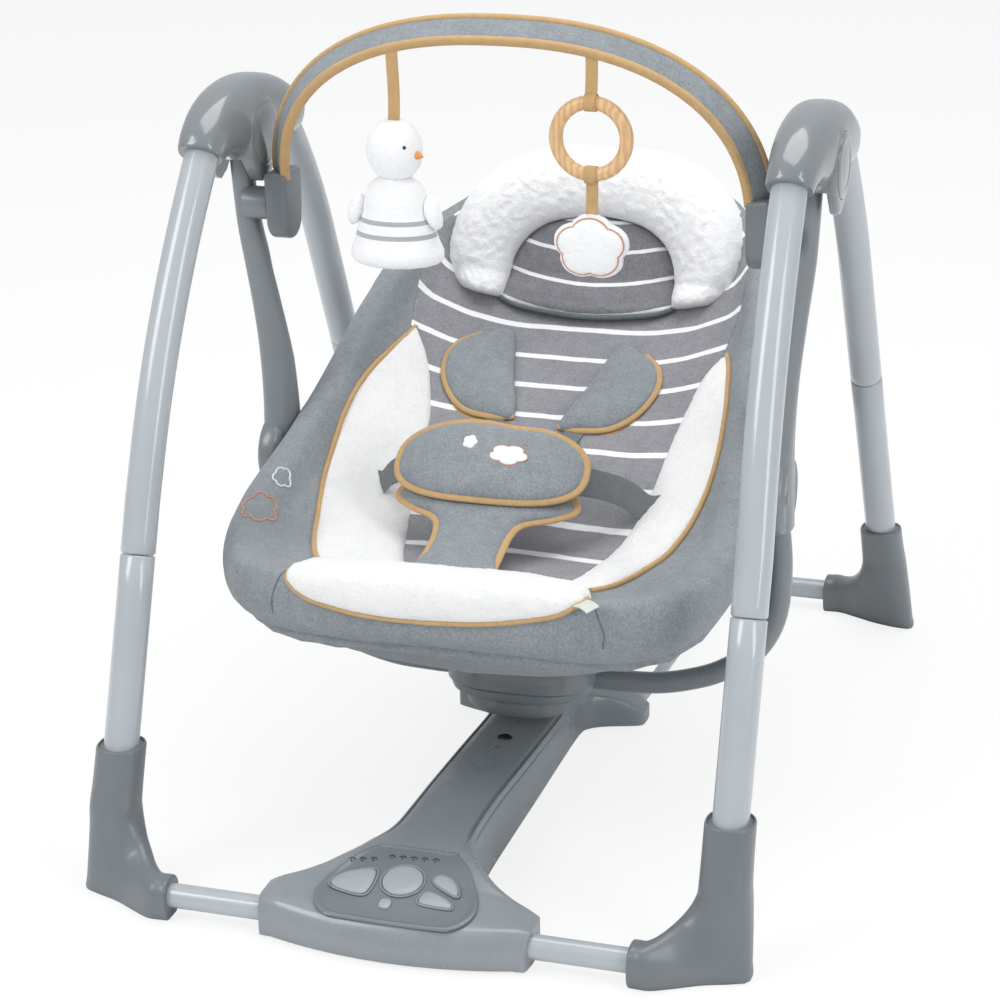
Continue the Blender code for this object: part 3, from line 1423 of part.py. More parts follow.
def make_pads(height):
    waist = cushion("waist", super_outline(0.0850, 0.0400, 0.0, 2.5, 20), 0.0095,
                    pad_place(WAIST_CENTRE, WAIST_PITCH), 0.4)
    finish(waist, "waist_pad", CLOTH, "swing", 60.0)

    crotch_edge = list(CROTCH_HALF) + [(-x, y) for x, y in reversed(CROTCH_HALF)]
    crotch = cushion("crotch", smooth_outline(crotch_edge, 2), 0.0060, crotch_place, 0.3)
    finish(crotch, "crotch_pad", CLOTH, "swing", 60.0)

    for side, tag, spot in ((1, "right", SHOULDER_RIGHT), (-1, "left", SHOULDER_LEFT)):
        edge = [(side * u, v) for u, v in SHOULDER_EDGE]
        shoulder = cushion("shoulder", smooth_outline(edge, 2), SHOULDER_THICK,
                           draped_place(spot, LINING_PITCH, side * SHOULDER_TURN, height, SHOULDER_LIFT), 0.1)
        finish(shoulder, "shoulder_pad_" + tag, CLOTH, "backrest", 60.0)


def bow_point(t):
    """The toy bar's middle line: t from 0 at the right foot to 1 at the left."""
    a = math.pi * t
    c = math.cos(a)
    s = math.sin(a)
    x = BOW_HALF * math.copysign(abs(c) ** (2 / BOW_POWER), c)
    rise = BOW_RISE * max(0.0, s) ** (2 / BOW_POWER)
    return Vector((x, SOCKET_Y - BOW_LEAN * rise / BOW_RISE, BOW_FOOT_Z + rise))


def make_toy_bar():
    steps = 24
    raw = [bow_point(i / 240) for i in range(241)]
    points = spline_points(raw[::6], steps)
    points[0] = Vector((BOW_HALF, SOCKET_Y, BOW_FOOT_Z))
    points[-1] = Vector((-BOW_HALF, SOCKET_Y, BOW_FOOT_Z))
    frames = []
    tilt = math.radians(BAND_TILT)
    for i in range(len(points)):
        before = points[max(0, i - 1)]
        after = points[min(len(points) - 1, i + 1)]
        along = (after - before).normalized()
        back = Vector((0, 1, 0))
        back = (back - along * back.dot(along)).normalized()
        radial = back.cross(along)
        if radial.z < 0 and abs(along.x) > 0.3:
            radial = -radial
        if abs(along.x) <= 0.3 and radial.x * points[i].x < 0:
            radial = -radial
        wide = radial * math.cos(tilt) + back * math.sin(tilt)
        thick = along.cross(wide).normalized()
        frames.append((wide, thick))
    half_w = BAND_W / 2
    half_t = BAND_T / 2
    profile = [(half_w, 0.0), (half_w * 0.88, half_t), (-half_w * 0.88, half_t),
               (-half_w, 0.0), (-half_w * 0.88, -half_t), (half_w * 0.88, -half_t)]
    band = sweep("band", points, frames, profile)
    top = 0.0300
    for side in (1, -1):
        x_low = SOCKET_IN if side > 0 else -SOCKET_OUT
        x_high = SOCKET_OUT if side > 0 else -SOCKET_IN
        cut(band, block("cutter", (x_low - 0.03, SOCKET_Y - 0.06, SOCKET_Z - 0.09),
                        (x_high + 0.03, SOCKET_Y + 0.07, SOCKET_Z + top + GAP), CUTTERS))
    finish(band, "toy_bar", CLOTH, "toy_bar")

    outline = [(SOCKET_Y - 0.0200, SOCKET_Z + top), (SOCKET_Y - 0.0190, SOCKET_Z - 0.004)]
    outline += arc((SOCKET_Y, SOCKET_Z - 0.0110), 0.0180, 190, 350, 10)
    outline += [(SOCKET_Y + 0.0190, SOCKET_Z - 0.004), (SOCKET_Y + 0.0200, SOCKET_Z + top)]
    socket = yz_plate("socket", outline, SOCKET_IN, SOCKET_OUT)
    bevel(socket, 0.0035, 1, 40.0)
    cut(socket, cutter_rod((SOCKET_IN + 0.005, SOCKET_Y, SOCKET_Z), (SOCKET_OUT + 0.01, SOCKET_Y, SOCKET_Z),
                           SOCKET_PIN_R + GAP))
    finish_pair(socket, "toy_bar_end", MATTE, "toy_bar")
    return band


def bow_height(x):
    """Height of the toy bar's middle line over a spot."""
    share = (1.0 - abs(x / BOW_HALF) ** BOW_POWER) ** (1.0 / BOW_POWER)
    return BOW_FOOT_Z + BOW_RISE * share


def strap(name, x, low, high, carrier, band=None):
    """A flat strap; one that hangs from the toy bar ends against the band's underside."""
    obj = block(name, (x - STRAP_W / 2, TOY_Y - STRAP_T / 2, low),
                (x + STRAP_W / 2, TOY_Y + STRAP_T / 2, high))
    if band:
        cut(obj, grown(band, STRAP_GAP))
    finish(obj, name, WEBBING, carrier)


def turned_plush(name, profile, centre, deep, sides=14):
    """A stuffed form: a turned profile, pressed flatter front to back."""
    data = bpy.data.meshes.new(name)
    bm = bmesh.new()
    verts = [bm.verts.new((r, 0, z)) for r, z in profile]
    for a, b in zip(verts, verts[1:]):
        bm.edges.new((a, b))
    bm.to_mesh(data)
    bm.free()
    obj = bpy.data.objects.new(name, data)
    PARTS.objects.link(obj)
    turn = obj.modifiers.new("turn", "SCREW")
    turn.steps = sides
    turn.render_steps = sides
    turn.use_merge_vertices = True
    turn.merge_threshold = 0.00005
    bake(obj)
    obj.data.transform(Matrix.Translation(centre) @ Matrix.Diagonal((1, deep, 1, 1)))
    return weld(obj, 0.00005)


def make_toys(band):
    head_top = 0.5790
    neck = 0.5300
    strap("bird_strap", BIRD_X, head_top + GAP, bow_height(BIRD_X) - STRAP_INSET, "bird", band)
    body_profile = [(0.0, 0.5340), (0.0150, 0.5320), (0.0225, 0.5260), (0.0265, 0.5160), (0.0290, 0.5030),
                    (0.0320, 0.4980), (0.0330, 0.4900), (0.0360, 0.4800), (0.0395, 0.4720),
                    (0.0380, 0.4650), (0.0300, 0.4615), (0.0, 0.4605)]
    plump = turned_plush("plump", body_profile, (BIRD_X, TOY_Y, 0.0), 0.72)
    wing = ball("wing", (BIRD_X - 0.0310, TOY_Y, 0.5080), (0.0120, 0.0090, 0.0110), 6, 10)
    join(plump, wing)
    head = ball("head", (BIRD_X, TOY_Y, (head_top + neck) / 2 + 0.001), (0.0235, 0.0190, 0.0255), 8, 14)
    beak = rod("beak", (BIRD_X + 0.0190, TOY_Y, 0.5530), (BIRD_X + 0.0310, TOY_Y, 0.5515), 0.0050, 10, 0.0006)
    join(head, beak)
    room = [(r * 1.01 + (0.0004 if r else 0.0), z + 0.0004) for r, z in body_profile]
    larger = turned_plush("larger", room, (BIRD_X, TOY_Y, 0.0), 0.74)
    cut(head, larger)
    trim = block("cutter", (BIRD_X - 0.03, TOY_Y - 0.03, head_top),
                 (BIRD_X + 0.03, TOY_Y + 0.03, head_top + 0.021), CUTTERS)
    cut(head, trim)
    finish(plump, "bird_body", FLEECE, "bird", 60.0)
    finish(head, "bird_head", FLEECE, "bird", 60.0)

    top = RING_Z + RING_R + RING_ROD + GAP
    strap("ring_strap", RING_X, top, bow_height(RING_X) - STRAP_INSET, "ring", band)
    bm = bmesh.new()
    rings = []
    for i in range(RING_STEPS):
        a = 2 * math.pi * i / RING_STEPS
        row = []
        for k in range(RING_SIDES):
            b = 2 * math.pi * k / RING_SIDES
            r = RING_R + RING_ROD * math.cos(b)
            spot = (RING_X + r * math.cos(a), TOY_Y + RING_ROD * math.sin(b), RING_Z + r * math.sin(a))
            row.append(bm.verts.new(spot))
        rings.append(row)
    for i in range(RING_STEPS):
        row = rings[i]
        after = rings[(i + 1) % RING_STEPS]
        for k in range(RING_SIDES):
            side = (k + 1) % RING_SIDES
            bm.faces.new((row[k], after[k], after[side], row[side]))
    finish(add_mesh("hoop", bm), "wooden_ring", TIMBER, "ring")

    low = RING_Z - RING_R - RING_ROD - GAP
    strap("puff_strap", RING_X, PUFF_Z + PUFF_R * 1.02 + GAP, low, "puff")
    outline = []
    for i in range(25):
        a = 2 * math.pi * i / 25 + math.pi / 2
        r = PUFF_R * (1.02 + 0.12 * (abs(math.cos(2.5 * (a - math.pi / 2))) - 0.6) / 0.4 * 0.5)
        outline.append((1.14 * r * math.cos(a), 0.98 * r * math.sin(a)))

    def place(u, v, w):
        return (RING_X + u, TOY_Y - w, PUFF_Z + v)

    puff = cushion("puff", outline, 0.0085, place)
    high = PUFF_Z + PUFF_R * 1.02
    cut(puff, block("cutter", (RING_X - 0.04, TOY_Y - 0.03, high),
                    (RING_X + 0.04, TOY_Y + 0.03, high + 0.02), CUTTERS))
    finish(puff, "cloud_puff", FLEECE, "puff", 60.0)


def make_bodies():
    body("rear_frame", (0, PIVOT_Y, PIVOT_Z))
    body("fold_button_right", (HUB_OUT, HUB_Y, HUB_Z))
    body("fold_button_left", (-HUB_OUT, HUB_Y, HUB_Z))
    body("swing", (0, HUB_Y, HUB_Z))
    body("backrest", (0, JOINT_Y, JOINT_Z))
    body("toy_bar", (0, SOCKET_Y, SOCKET_Z))
    body("bird", (BIRD_X, TOY_Y, bow_height(BIRD_X) - STRAP_HANG))
    body("ring", (RING_X, TOY_Y, bow_height(RING_X) - STRAP_HANG))
    body("puff", (RING_X, TOY_Y, RING_Z - RING_R))
    for name, (spot, outline) in BUTTONS.items():
        body(name, (spot[0], spot[1], base_top(0.0, spot[1])))


make_bodies()
make_front_legs()
make_rear_legs()
make_feet()
make_bars()
make_hubs()
make_arms()
make_lower_tube()
make_drive_unit()
make_base()
make_braces()
LINING = make_seat()
make_frames()
make_pads(LINING)
BAND = make_toy_bar()
make_toys(BAND)
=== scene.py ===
"""Looks of the portable baby swing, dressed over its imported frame. Metres, +Z up, front at -Y."""
import math

import bmesh
import bpy
from mathutils import Matrix, Vector, noise
from mathutils.bvhtree import BVHTree
from mathutils.kdtree import KDTree


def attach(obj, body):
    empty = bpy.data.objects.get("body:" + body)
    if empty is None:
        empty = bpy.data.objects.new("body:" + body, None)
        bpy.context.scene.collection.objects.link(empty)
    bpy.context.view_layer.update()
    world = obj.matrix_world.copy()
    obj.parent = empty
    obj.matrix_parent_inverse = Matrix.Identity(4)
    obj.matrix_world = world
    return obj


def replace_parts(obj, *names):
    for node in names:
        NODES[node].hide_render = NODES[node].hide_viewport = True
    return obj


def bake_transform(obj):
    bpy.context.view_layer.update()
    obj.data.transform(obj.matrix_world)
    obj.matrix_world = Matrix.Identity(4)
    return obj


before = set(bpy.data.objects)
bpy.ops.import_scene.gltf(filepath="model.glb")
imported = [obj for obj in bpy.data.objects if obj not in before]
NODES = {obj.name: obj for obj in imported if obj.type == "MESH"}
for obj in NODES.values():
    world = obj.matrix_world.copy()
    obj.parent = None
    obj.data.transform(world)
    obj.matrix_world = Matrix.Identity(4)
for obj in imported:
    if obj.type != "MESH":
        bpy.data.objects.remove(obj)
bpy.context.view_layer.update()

# Sizes that several pieces share
LEG_R = 0.0142
BAR_R = 0.0098
ROD_R = 0.0055
FRONT_BAR = (-0.3672, 0.0182)
REAR_BAR = (0.381, 0.0189)
HUB_X, HUB_Y, HUB_Z = 0.2447, -0.018, 0.5505
BUTTON_X = 0.2697
PIVOT_Z = 0.553
JOINT_Y, JOINT_Z = -0.0125, 0.267
BOW_Y, BOW_Z = -0.022, 0.492
TOY_Y = -0.068
BIRD_X, RING_X = -0.088, 0.077
RING_Z, RING_R, RING_WIRE = 0.573, 0.029, 0.0056
PUFF_Z, PUFF_R = 0.485, 0.0265
STRAP_W = 0.0098
SIDES = ((1, "right"), (-1, "left"))


# Materials

def new_material(name, colour, roughness, metallic=0.0, **inputs):
    mat = bpy.data.materials.new(name)
    mat.use_nodes = True
    shader = mat.node_tree.nodes["Principled BSDF"]
    shader.inputs["Base Color"].default_value = (*colour, 1.0)
    shader.inputs["Roughness"].default_value = roughness
    shader.inputs["Metallic"].default_value = metallic
    for key, value in inputs.items():
        shader.inputs[key.replace("_", " ")].default_value = value
    return mat


def add_node(mat, kind, links=(), **values):
    """A node with its inputs linked or set by name."""
    tree = mat.node_tree
    made = tree.nodes.new(kind)
    for key, value in values.items():
        if hasattr(made, key):
            setattr(made, key, value)
        else:
            made.inputs[key].default_value = value
    for key, source in dict(links).items():
        tree.links.new(source, made.inputs[key])
    return made


def feed(mat, socket, value):
    """Sets a node's input to a number, a colour or the output of another node."""
    if isinstance(value, bpy.types.NodeSocket):
        mat.node_tree.links.new(value, socket)
    else:
        socket.default_value = value if isinstance(value, (int, float)) else (*value, 1.0)


def place_node(mat, scale=(1, 1, 1)):
    coords = add_node(mat, "ShaderNodeTexCoord")
    spot = add_node(mat, "ShaderNodeMapping", {"Vector": coords.outputs["Object"]}, Scale=scale)
    return spot.outputs["Vector"]


def noise_node(mat, spot, scale, detail=3.0, roughness=0.6):
    return add_node(mat, "ShaderNodeTexNoise", {"Vector": spot}, Scale=scale, Detail=detail,
                    Roughness=roughness).outputs["Fac"]


def wave_node(mat, spot, direction, scale, distortion, detail):
    return add_node(mat, "ShaderNodeTexWave", {"Vector": spot}, bands_direction=direction, Scale=scale,
                    Distortion=distortion, Detail=detail).outputs["Fac"]


def ramp_node(mat, fac, stops):
    made = add_node(mat, "ShaderNodeValToRGB", {"Fac": fac})
    band = made.color_ramp
    for _ in range(len(stops) - 2):
        band.elements.new(0.5)
    for element, (spot, colour) in zip(band.elements, stops):
        element.position = spot
        element.color = (*colour, 1.0)
    return made.outputs["Color"]


def shades(mat, fac, colour, *stops):
    """The colour made darker and lighter along a factor, by pairs of place and share."""
    return ramp_node(mat, fac, [(spot, tuple(min(1.0, c * k) for c in colour)) for spot, k in stops])


def mix_node(mat, fac, first, second, blend="MIX"):
    made = add_node(mat, "ShaderNodeMix", data_type="RGBA", blend_type=blend)
    for slot, value in ((0, fac), (6, first), (7, second)):
        feed(mat, made.inputs[slot], value)
    return made.outputs[2]


def math_node(mat, operation, *values):
    made = add_node(mat, "ShaderNodeMath", operation=operation)
    for slot, value in enumerate(values):
        feed(mat, made.inputs[slot], value)
    return made.outputs[0]


def wire(mat, colour=None, roughness=None, bump=None, strength=0.2, distance=0.001):
    """Leads the colour, gloss and bump into the material's shader."""
    shader = mat.node_tree.nodes["Principled BSDF"]
    normal = bump and add_node(mat, "ShaderNodeBump", {"Height": bump}, Strength=strength,
                               Distance=distance).outputs["Normal"]
    for name, source in (("Base Color", colour), ("Roughness", roughness), ("Normal", normal)):
        if source is not None:
            mat.node_tree.links.new(source, shader.inputs[name])
    return mat


def moulded(name, colour, rough, coat=0.0, grain=1400, strength=0.1):
    """Moulded plastic: faint cloudiness, a fine pebble and slightly uneven gloss."""
    mat = new_material(name, colour, rough, Coat_Weight=coat)
    spot = place_node(mat)
    cloud = noise_node(mat, spot, 14, 4)
    uneven = math_node(mat, "MULTIPLY_ADD", cloud, 0.14, rough - 0.07)
    return wire(mat, shades(mat, cloud, colour, (0.3, 0.93), (0.7, 1.06)), uneven,
                noise_node(mat, spot, grain, 2), strength, 0.0002)


def painted(name, colour, rough):
    """Powder-coated tube: clear gloss with a faint orange peel."""
    mat = new_material(name, colour, rough, 0.0, Coat_Weight=0.5, Coat_Roughness=0.08)
    spot = place_node(mat)
    cloud = noise_node(mat, spot, 9, 3)
    uneven = math_node(mat, "MULTIPLY_ADD", cloud, 0.1, rough - 0.05)
    return wire(mat, shades(mat, cloud, colour, (0.3, 0.96), (0.7, 1.04)), uneven,
                noise_node(mat, spot, 420, 1), 0.05, 0.0003)


def heather_cloth(name, colour, sheen=0.08):
    """Brushed melange jersey: light and dark fibres over a fine knit."""
    mat = new_material(name, colour, 0.95, Sheen_Weight=sheen, Sheen_Roughness=0.6)
    spot = place_node(mat)
    fibre = noise_node(mat, place_node(mat, (1, 1.6, 0.8)), 520, 4, 0.7)
    patch = noise_node(mat, spot, 95, 4, 0.65)
    broad = noise_node(mat, spot, 11, 3)
    shade = mix_node(mat, 0.45, shades(mat, fibre, colour, (0.28, 0.52), (0.5, 1.0), (0.74, 1.65)),
                     shades(mat, patch, colour, (0.3, 0.8), (0.7, 1.22)))
    worn = ramp_node(mat, broad, ((0.3, (0.86, 0.86, 0.87)), (0.7, (1.0, 1.0, 1.0))))
    both = math_node(mat, "MULTIPLY_ADD", fibre, 0.7, patch)
    return wire(mat, mix_node(mat, 1.0, shade, worn, "MULTIPLY"), None, both, 0.55, 0.0009)


def striped_cloth(name, colour, pale, spacing, width):
    """The same jersey with thin white stripes laid across the attribute run."""
    mat = heather_cloth(name, colour)
    shader = mat.node_tree.nodes["Principled BSDF"]
    ground = shader.inputs["Base Color"].links[0].from_socket
    run = add_node(mat, "ShaderNodeAttribute", attribute_name="run").outputs["Fac"]
    wobble = noise_node(mat, place_node(mat), 60, 2)
    turns = math_node(mat, "DIVIDE", math_node(mat, "MULTIPLY_ADD", wobble, 0.0016, run), spacing)
    near = math_node(mat, "ABSOLUTE", math_node(mat, "SUBTRACT", math_node(mat, "FRACT", turns), 0.5))
    edge = math_node(mat, "SUBTRACT", width / spacing / 2, near)
    mask = math_node(mat, "MULTIPLY", edge, 60.0)
    mask.node.use_clamp = True
    return wire(mat, mix_node(mat, mask, ground, pale))


def plush_cloth(name, colour, strength=0.9):
    """Deep pile: clumped tufts, with painted shade greying the hollows between them."""
    mat = new_material(name, colour, 1.0, Sheen_Weight=0.5, Sheen_Roughness=0.5,
                       Subsurface_Weight=0.08, Subsurface_Scale=0.004)
    spot = place_node(mat)
    tuft = noise_node(mat, spot, 300, 5, 0.7)
    clump = noise_node(mat, spot, 70, 4, 0.6)
    # The darker ends of both ramps fall where the bump is low: painted shade in the hollows between tufts and
    # clumps.
    shade = mix_node(mat, 0.5, shades(mat, tuft, colour, (0.3, 0.9), (0.62, 1.03)),
                     shades(mat, clump, colour, (0.3, 0.96), (0.6, 1.03)))
    return wire(mat, shade, None, math_node(mat, "MULTIPLY_ADD", tuft, 0.6, clump), strength, 0.0022)


def woven_tape(name, colour, pitch=0.0011, strength=0.5):
    """Twill tape: fine diagonal ribs, a little uneven in shade."""
    mat = new_material(name, colour, 0.85, Sheen_Weight=0.15)
    spot = place_node(mat)
    ribs = wave_node(mat, spot, "DIAGONAL", 0.31 / pitch, 0.6, 2.0)
    shade = mix_node(mat, 0.5, shades(mat, ribs, colour, (0.2, 0.82), (0.8, 1.1)),
                     shades(mat, noise_node(mat, spot, 160, 4), colour, (0.3, 0.85), (0.7, 1.15)))
    return wire(mat, shade, None, ribs, strength, 0.0004)


def turned_wood(name, colour):
    """Beech: drawn-out grain with fine pores."""
    mat = new_material(name, colour, 0.42, Coat_Weight=0.15)
    grain = wave_node(mat, place_node(mat, (1, 5, 0.35)), "X", 60, 6.0, 3.0)
    pores = noise_node(mat, place_node(mat, (3, 3, 0.5)), 260, 3)
    shade = mix_node(mat, 0.25, shades(mat, grain, colour, (0.1, 0.82), (0.9, 1.12)),
                     shades(mat, pores, colour, (0.35, 0.7), (0.6, 1.1)))
    return wire(mat, shade, None, pores, 0.15, 0.0003)


def brushed_metal(name, colour, rough, metallic=1.0):
    """Metal with drawn streaks."""
    mat = new_material(name, colour, rough, metallic)
    streak = noise_node(mat, place_node(mat, (1, 30, 30)), 60, 3)
    return wire(mat, shades(mat, streak, colour, (0.3, 0.85), (0.7, 1.1)), None, streak, 0.1, 0.0002)


DARK = moulded("dark_plastic", (0.15, 0.166, 0.176), 0.36, 0.1)
GLOSS = moulded("gloss_plastic", (0.186, 0.203, 0.212), 0.2, 0.55, 900, 0.03)
BASE_SHELL = moulded("base_plastic", (0.245, 0.268, 0.284), 0.28, 0.25)
ARM_PLASTIC = moulded("arm_plastic", (0.19, 0.208, 0.22), 0.3, 0.2)
PANEL = moulded("panel_plastic", (0.165, 0.183, 0.194), 0.32, 0.15)
KEYS = moulded("key_plastic", (0.335, 0.36, 0.372), 0.34, 0.1)
KEY_RING = moulded("key_ring_plastic", (0.245, 0.268, 0.28), 0.3, 0.2)
INK = moulded("raised_marks", (0.045, 0.05, 0.055), 0.55)
WINDOW = moulded("dark_window", (0.008, 0.009, 0.01), 0.12, 0.6, 900, 0.02)
TUBES = painted("light_tube", (0.4, 0.43, 0.45), 0.24)
HEATHER = heather_cloth("heather_cloth", (0.255, 0.28, 0.294))
HEATHER_DARK = heather_cloth("heather_seam", (0.15, 0.172, 0.182))
STRIPES = striped_cloth("striped_cloth", (0.27, 0.27, 0.288), (0.86, 0.86, 0.87), 0.0392, 0.0068)
PILLOW = striped_cloth("pillow_cloth", (0.225, 0.225, 0.24), (0.86, 0.86, 0.87), 0.029, 0.004)
PLUSH = plush_cloth("white_plush", (0.83, 0.825, 0.815))
ARCH_PLUSH = plush_cloth("arch_plush", (0.91, 0.91, 0.91))
SHORT_PLUSH = plush_cloth("toy_plush", (0.86, 0.86, 0.86), 0.5)
GREY_PLUSH = plush_cloth("toy_grey_plush", (0.4, 0.41, 0.43), 0.5)
TAPE = woven_tape("tan_tape", (0.525, 0.335, 0.15))
STITCH = woven_tape("white_stitch", (0.8, 0.79, 0.78), 0.0008)
CORAL = woven_tape("coral_stitch", (0.62, 0.29, 0.17), 0.0008)
DARK_WEB = woven_tape("dark_webbing", (0.15, 0.163, 0.173), 0.0016)
BEAK = woven_tape("beak_felt", (0.75, 0.3, 0.08))
EYES = moulded("eye_stitch", (0.03, 0.03, 0.035), 0.5)
LABEL = woven_tape("plain_label", (0.62, 0.66, 0.6), 0.0007)
BEECH = turned_wood("beech", (0.69, 0.435, 0.215))
STEEL = brushed_metal("steel", (0.55, 0.56, 0.58), 0.3)
COPPER = brushed_metal("copper_winding", (0.6, 0.3, 0.16), 0.4)
BOARD = moulded("board_laminate", (0.03, 0.16, 0.07), 0.45)


# Mesh helpers

def dress(obj, body):
    """Lets a piece ride on its body."""
    if body:
        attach(obj, body)
    return obj


def add_object(name, mesh):
    obj = bpy.data.objects.new(name, mesh)
    bpy.context.scene.collection.objects.link(obj)
    return obj


def add_mesh(name, bm, look, body=None, angle=40.0):
    bmesh.ops.recalc_face_normals(bm, faces=bm.faces)
    mesh = bpy.data.meshes.new(name)
    bm.to_mesh(mesh)
    bm.free()
    mesh.materials.append(look)
    return dress(smoothed(add_object(name, mesh), angle), body)


def smoothed(obj, angle=35.0):
    obj.data.shade_smooth()
    obj.data.set_sharp_from_angle(angle=math.radians(angle))
    return obj


def mirrored(obj, name, body=None):
    mesh = obj.data.copy()
    mesh.transform(Matrix.Diagonal((-1, 1, 1, 1)))
    mesh.flip_normals()
    return dress(add_object(name, mesh), body)


def bake(obj):
    graph = bpy.context.evaluated_depsgraph_get()
    mesh = bpy.data.meshes.new_from_object(obj.evaluated_get(graph))
    obj.modifiers.clear()
    obj.data = mesh
    return obj


def boolean(obj, other, operation):
    step = obj.modifiers.new("cut", "BOOLEAN")
    step.operation = operation
    step.solver = "EXACT"
    step.object = other
    bake(obj)
    bpy.data.objects.remove(other, do_unlink=True)
    return obj


def bevel(obj, width, segments=3, angle=35.0):
    step = obj.modifiers.new("bevel", "BEVEL")
    step.width = width
    step.segments = segments
    step.limit_method = "ANGLE"
    step.angle_limit = math.radians(angle)
    return bake(obj)


def clamp(value):
    return max(0.0, min(1.0, value))


def through(a, b, c, d, t):
    """The spot at share t of the smooth curve from b to c."""
    return 0.5 * (2 * b + (c - a) * t + (2 * a - 5 * b + 4 * c - d) * t * t
                  + (3 * b - a - 3 * c + d) * t ** 3)


def spline(points, count):
    """Points at even steps along a smooth curve through the given ones."""
    points = [Vector(p) for p in points]
    ends = [2 * points[0] - points[1]] + points + [2 * points[-1] - points[-2]]
    dense = [through(*ends[i - 1:i + 3], step / 24) for i in range(1, len(ends) - 2) for step in range(24)]
    dense.append(points[-1])
    lengths = [0.0]
    for a, b in zip(dense, dense[1:]):
        lengths.append(lengths[-1] + (b - a).length)
    result = []
    k = 0
    for step in range(count + 1):
        want = lengths[-1] * step / count
        while k < len(dense) - 2 and lengths[k + 1] < want:
            k += 1
        span = max(1e-9, lengths[k + 1] - lengths[k])
        result.append(dense[k].lerp(dense[k + 1], (want - lengths[k]) / span))
    return result


def flat_spline(spots, count):
    return spline([(x, y, 0) for x, y in spots], count)


def closed_curve(points, per_span):
    """A smooth closed outline through flat points."""
    count = len(points)
    result = []
    for i in range(count):
        near = [Vector(points[(i + k) % count]) for k in (-1, 0, 1, 2)]
        result += [through(*near, step / per_span) for step in range(per_span)]
    return result


def between_rings(rings, per):
    """More rings on a smooth run through the given ones."""
    result = []
    last = len(rings) - 1
    for i in range(last):
        near = [rings[max(0, i - 1)], rings[i], rings[i + 1], rings[min(last, i + 2)]]
        for step in range(per):
            result.append([through(*four, step / per) for four in zip(*near)])
    result.append(rings[last])
    return result


def unit_circle(count):
    """Even steps round a circle, as pairs of cosine and sine."""
    turns = [2 * math.pi * k / count for k in range(count)]
    return [(math.cos(a), math.sin(a)) for a in turns]


def both_ways(half):
    """Mirrors spots across the middle; a half may be of (x, y) or (x, y, z) rows."""
    return half + [(-row[0], *row[1:]) for row in reversed(half)]


def skin(rings, closed=True, ends=True):
    """A bmesh over rows of points; closed rows are rings."""
    bm = bmesh.new()
    rows = [[bm.verts.new(p) for p in ring] for ring in rings]
    n = len(rows[0])
    for first, second in zip(rows, rows[1:]):
        for k in range(n if closed else n - 1):
            bm.faces.new((first[k], first[(k + 1) % n], second[(k + 1) % n], second[k]))
    if ends:
        bm.faces.new(rows[0])
        bm.faces.new(rows[-1])
    return bm


def tube_mesh(points, radius, sides=20, closed=False, flat=1.0, normal_at=None):
    """A bmesh tube; flat squeezes it along normal_at(point), radius may be a list."""
    points = [Vector(p) for p in points]
    count = len(points)
    rings = []
    side = None
    for i, point in enumerate(points):
        before = points[(i - 1) % count] if closed else points[max(0, i - 1)]
        after = points[(i + 1) % count] if closed else points[min(count - 1, i + 1)]
        along = (after - before).normalized()
        if normal_at:
            up = normal_at(point)
        elif side is None:
            up = Vector((0, 0, 1)) if abs(along.z) < 0.9 else Vector((0, 1, 0))
        else:
            up = side
        up = (up - along * up.dot(along)).normalized()
        side = up
        across = along.cross(up)
        r = radius[i] if isinstance(radius, (list, tuple)) else radius
        rings.append([point + across * (r * c) + up * (r * flat * s) for c, s in unit_circle(sides)])
    if closed:
        rings.append(rings[0])
        bm = skin(rings, True, False)
        bmesh.ops.remove_doubles(bm, verts=bm.verts, dist=0.000001)
        return bm
    return skin(rings)


def tube(name, points, radius, look, body, sides=20, slot=None, **more):
    return add_mesh(name, tube_mesh(points, radius, sides, **more), look, body, 60.0)


def plate(outline, thickness, place):
    """A bmesh prism over a flat outline."""
    low = [place @ Vector((p[0], p[1], -thickness / 2)) for p in outline]
    high = [place @ Vector((p[0], p[1], thickness / 2)) for p in outline]
    return skin([low, high])


def yz_place(x):
    return Matrix.Translation((x, 0, 0)) @ Matrix(((0, 0, 1), (1, 0, 0), (0, 1, 0))).to_4x4()


def arc(centre, radius, start, end, steps):
    return [(centre[0] + radius * math.cos(math.radians(start + (end - start) * i / steps)),
             centre[1] + radius * math.sin(math.radians(start + (end - start) * i / steps)))
            for i in range(steps + 1)]


def circle(centre, radius, steps):
    return arc(centre, radius, 0, 360 * (steps - 1) / steps, steps - 1)


def disc(name, centre, axis, profile, look, body=None, sides=48):
    """A turned form: profile of (along, radius) pairs about an axis."""
    axis = Vector(axis).normalized()
    side = axis.orthogonal().normalized()
    other = axis.cross(side)
    rings = []
    for along, radius in profile:
        rings.append([Vector(centre) + axis * along + (side * c + other * s) * radius
                      for c, s in unit_circle(sides)])
    return add_mesh(name, skin(rings), look, body, 35.0)


def super_outline(half_x, half_y, centre_y, power, steps):
    """A superellipse; the power squares off its corners."""
    return [(half_x * math.copysign(abs(c) ** (2 / power), c),
             centre_y + half_y * math.copysign(abs(s) ** (2 / power), s)) for c, s in unit_circle(steps)]


def rounded_ring(one_side, other_side, half, power, steps, across):
    centre = (one_side + other_side) / 2
    reach = (one_side - other_side) / 2
    return [centre + reach * x + across * (half * y) for x, y in super_outline(1.0, 1.0, 0.0, power, steps)]


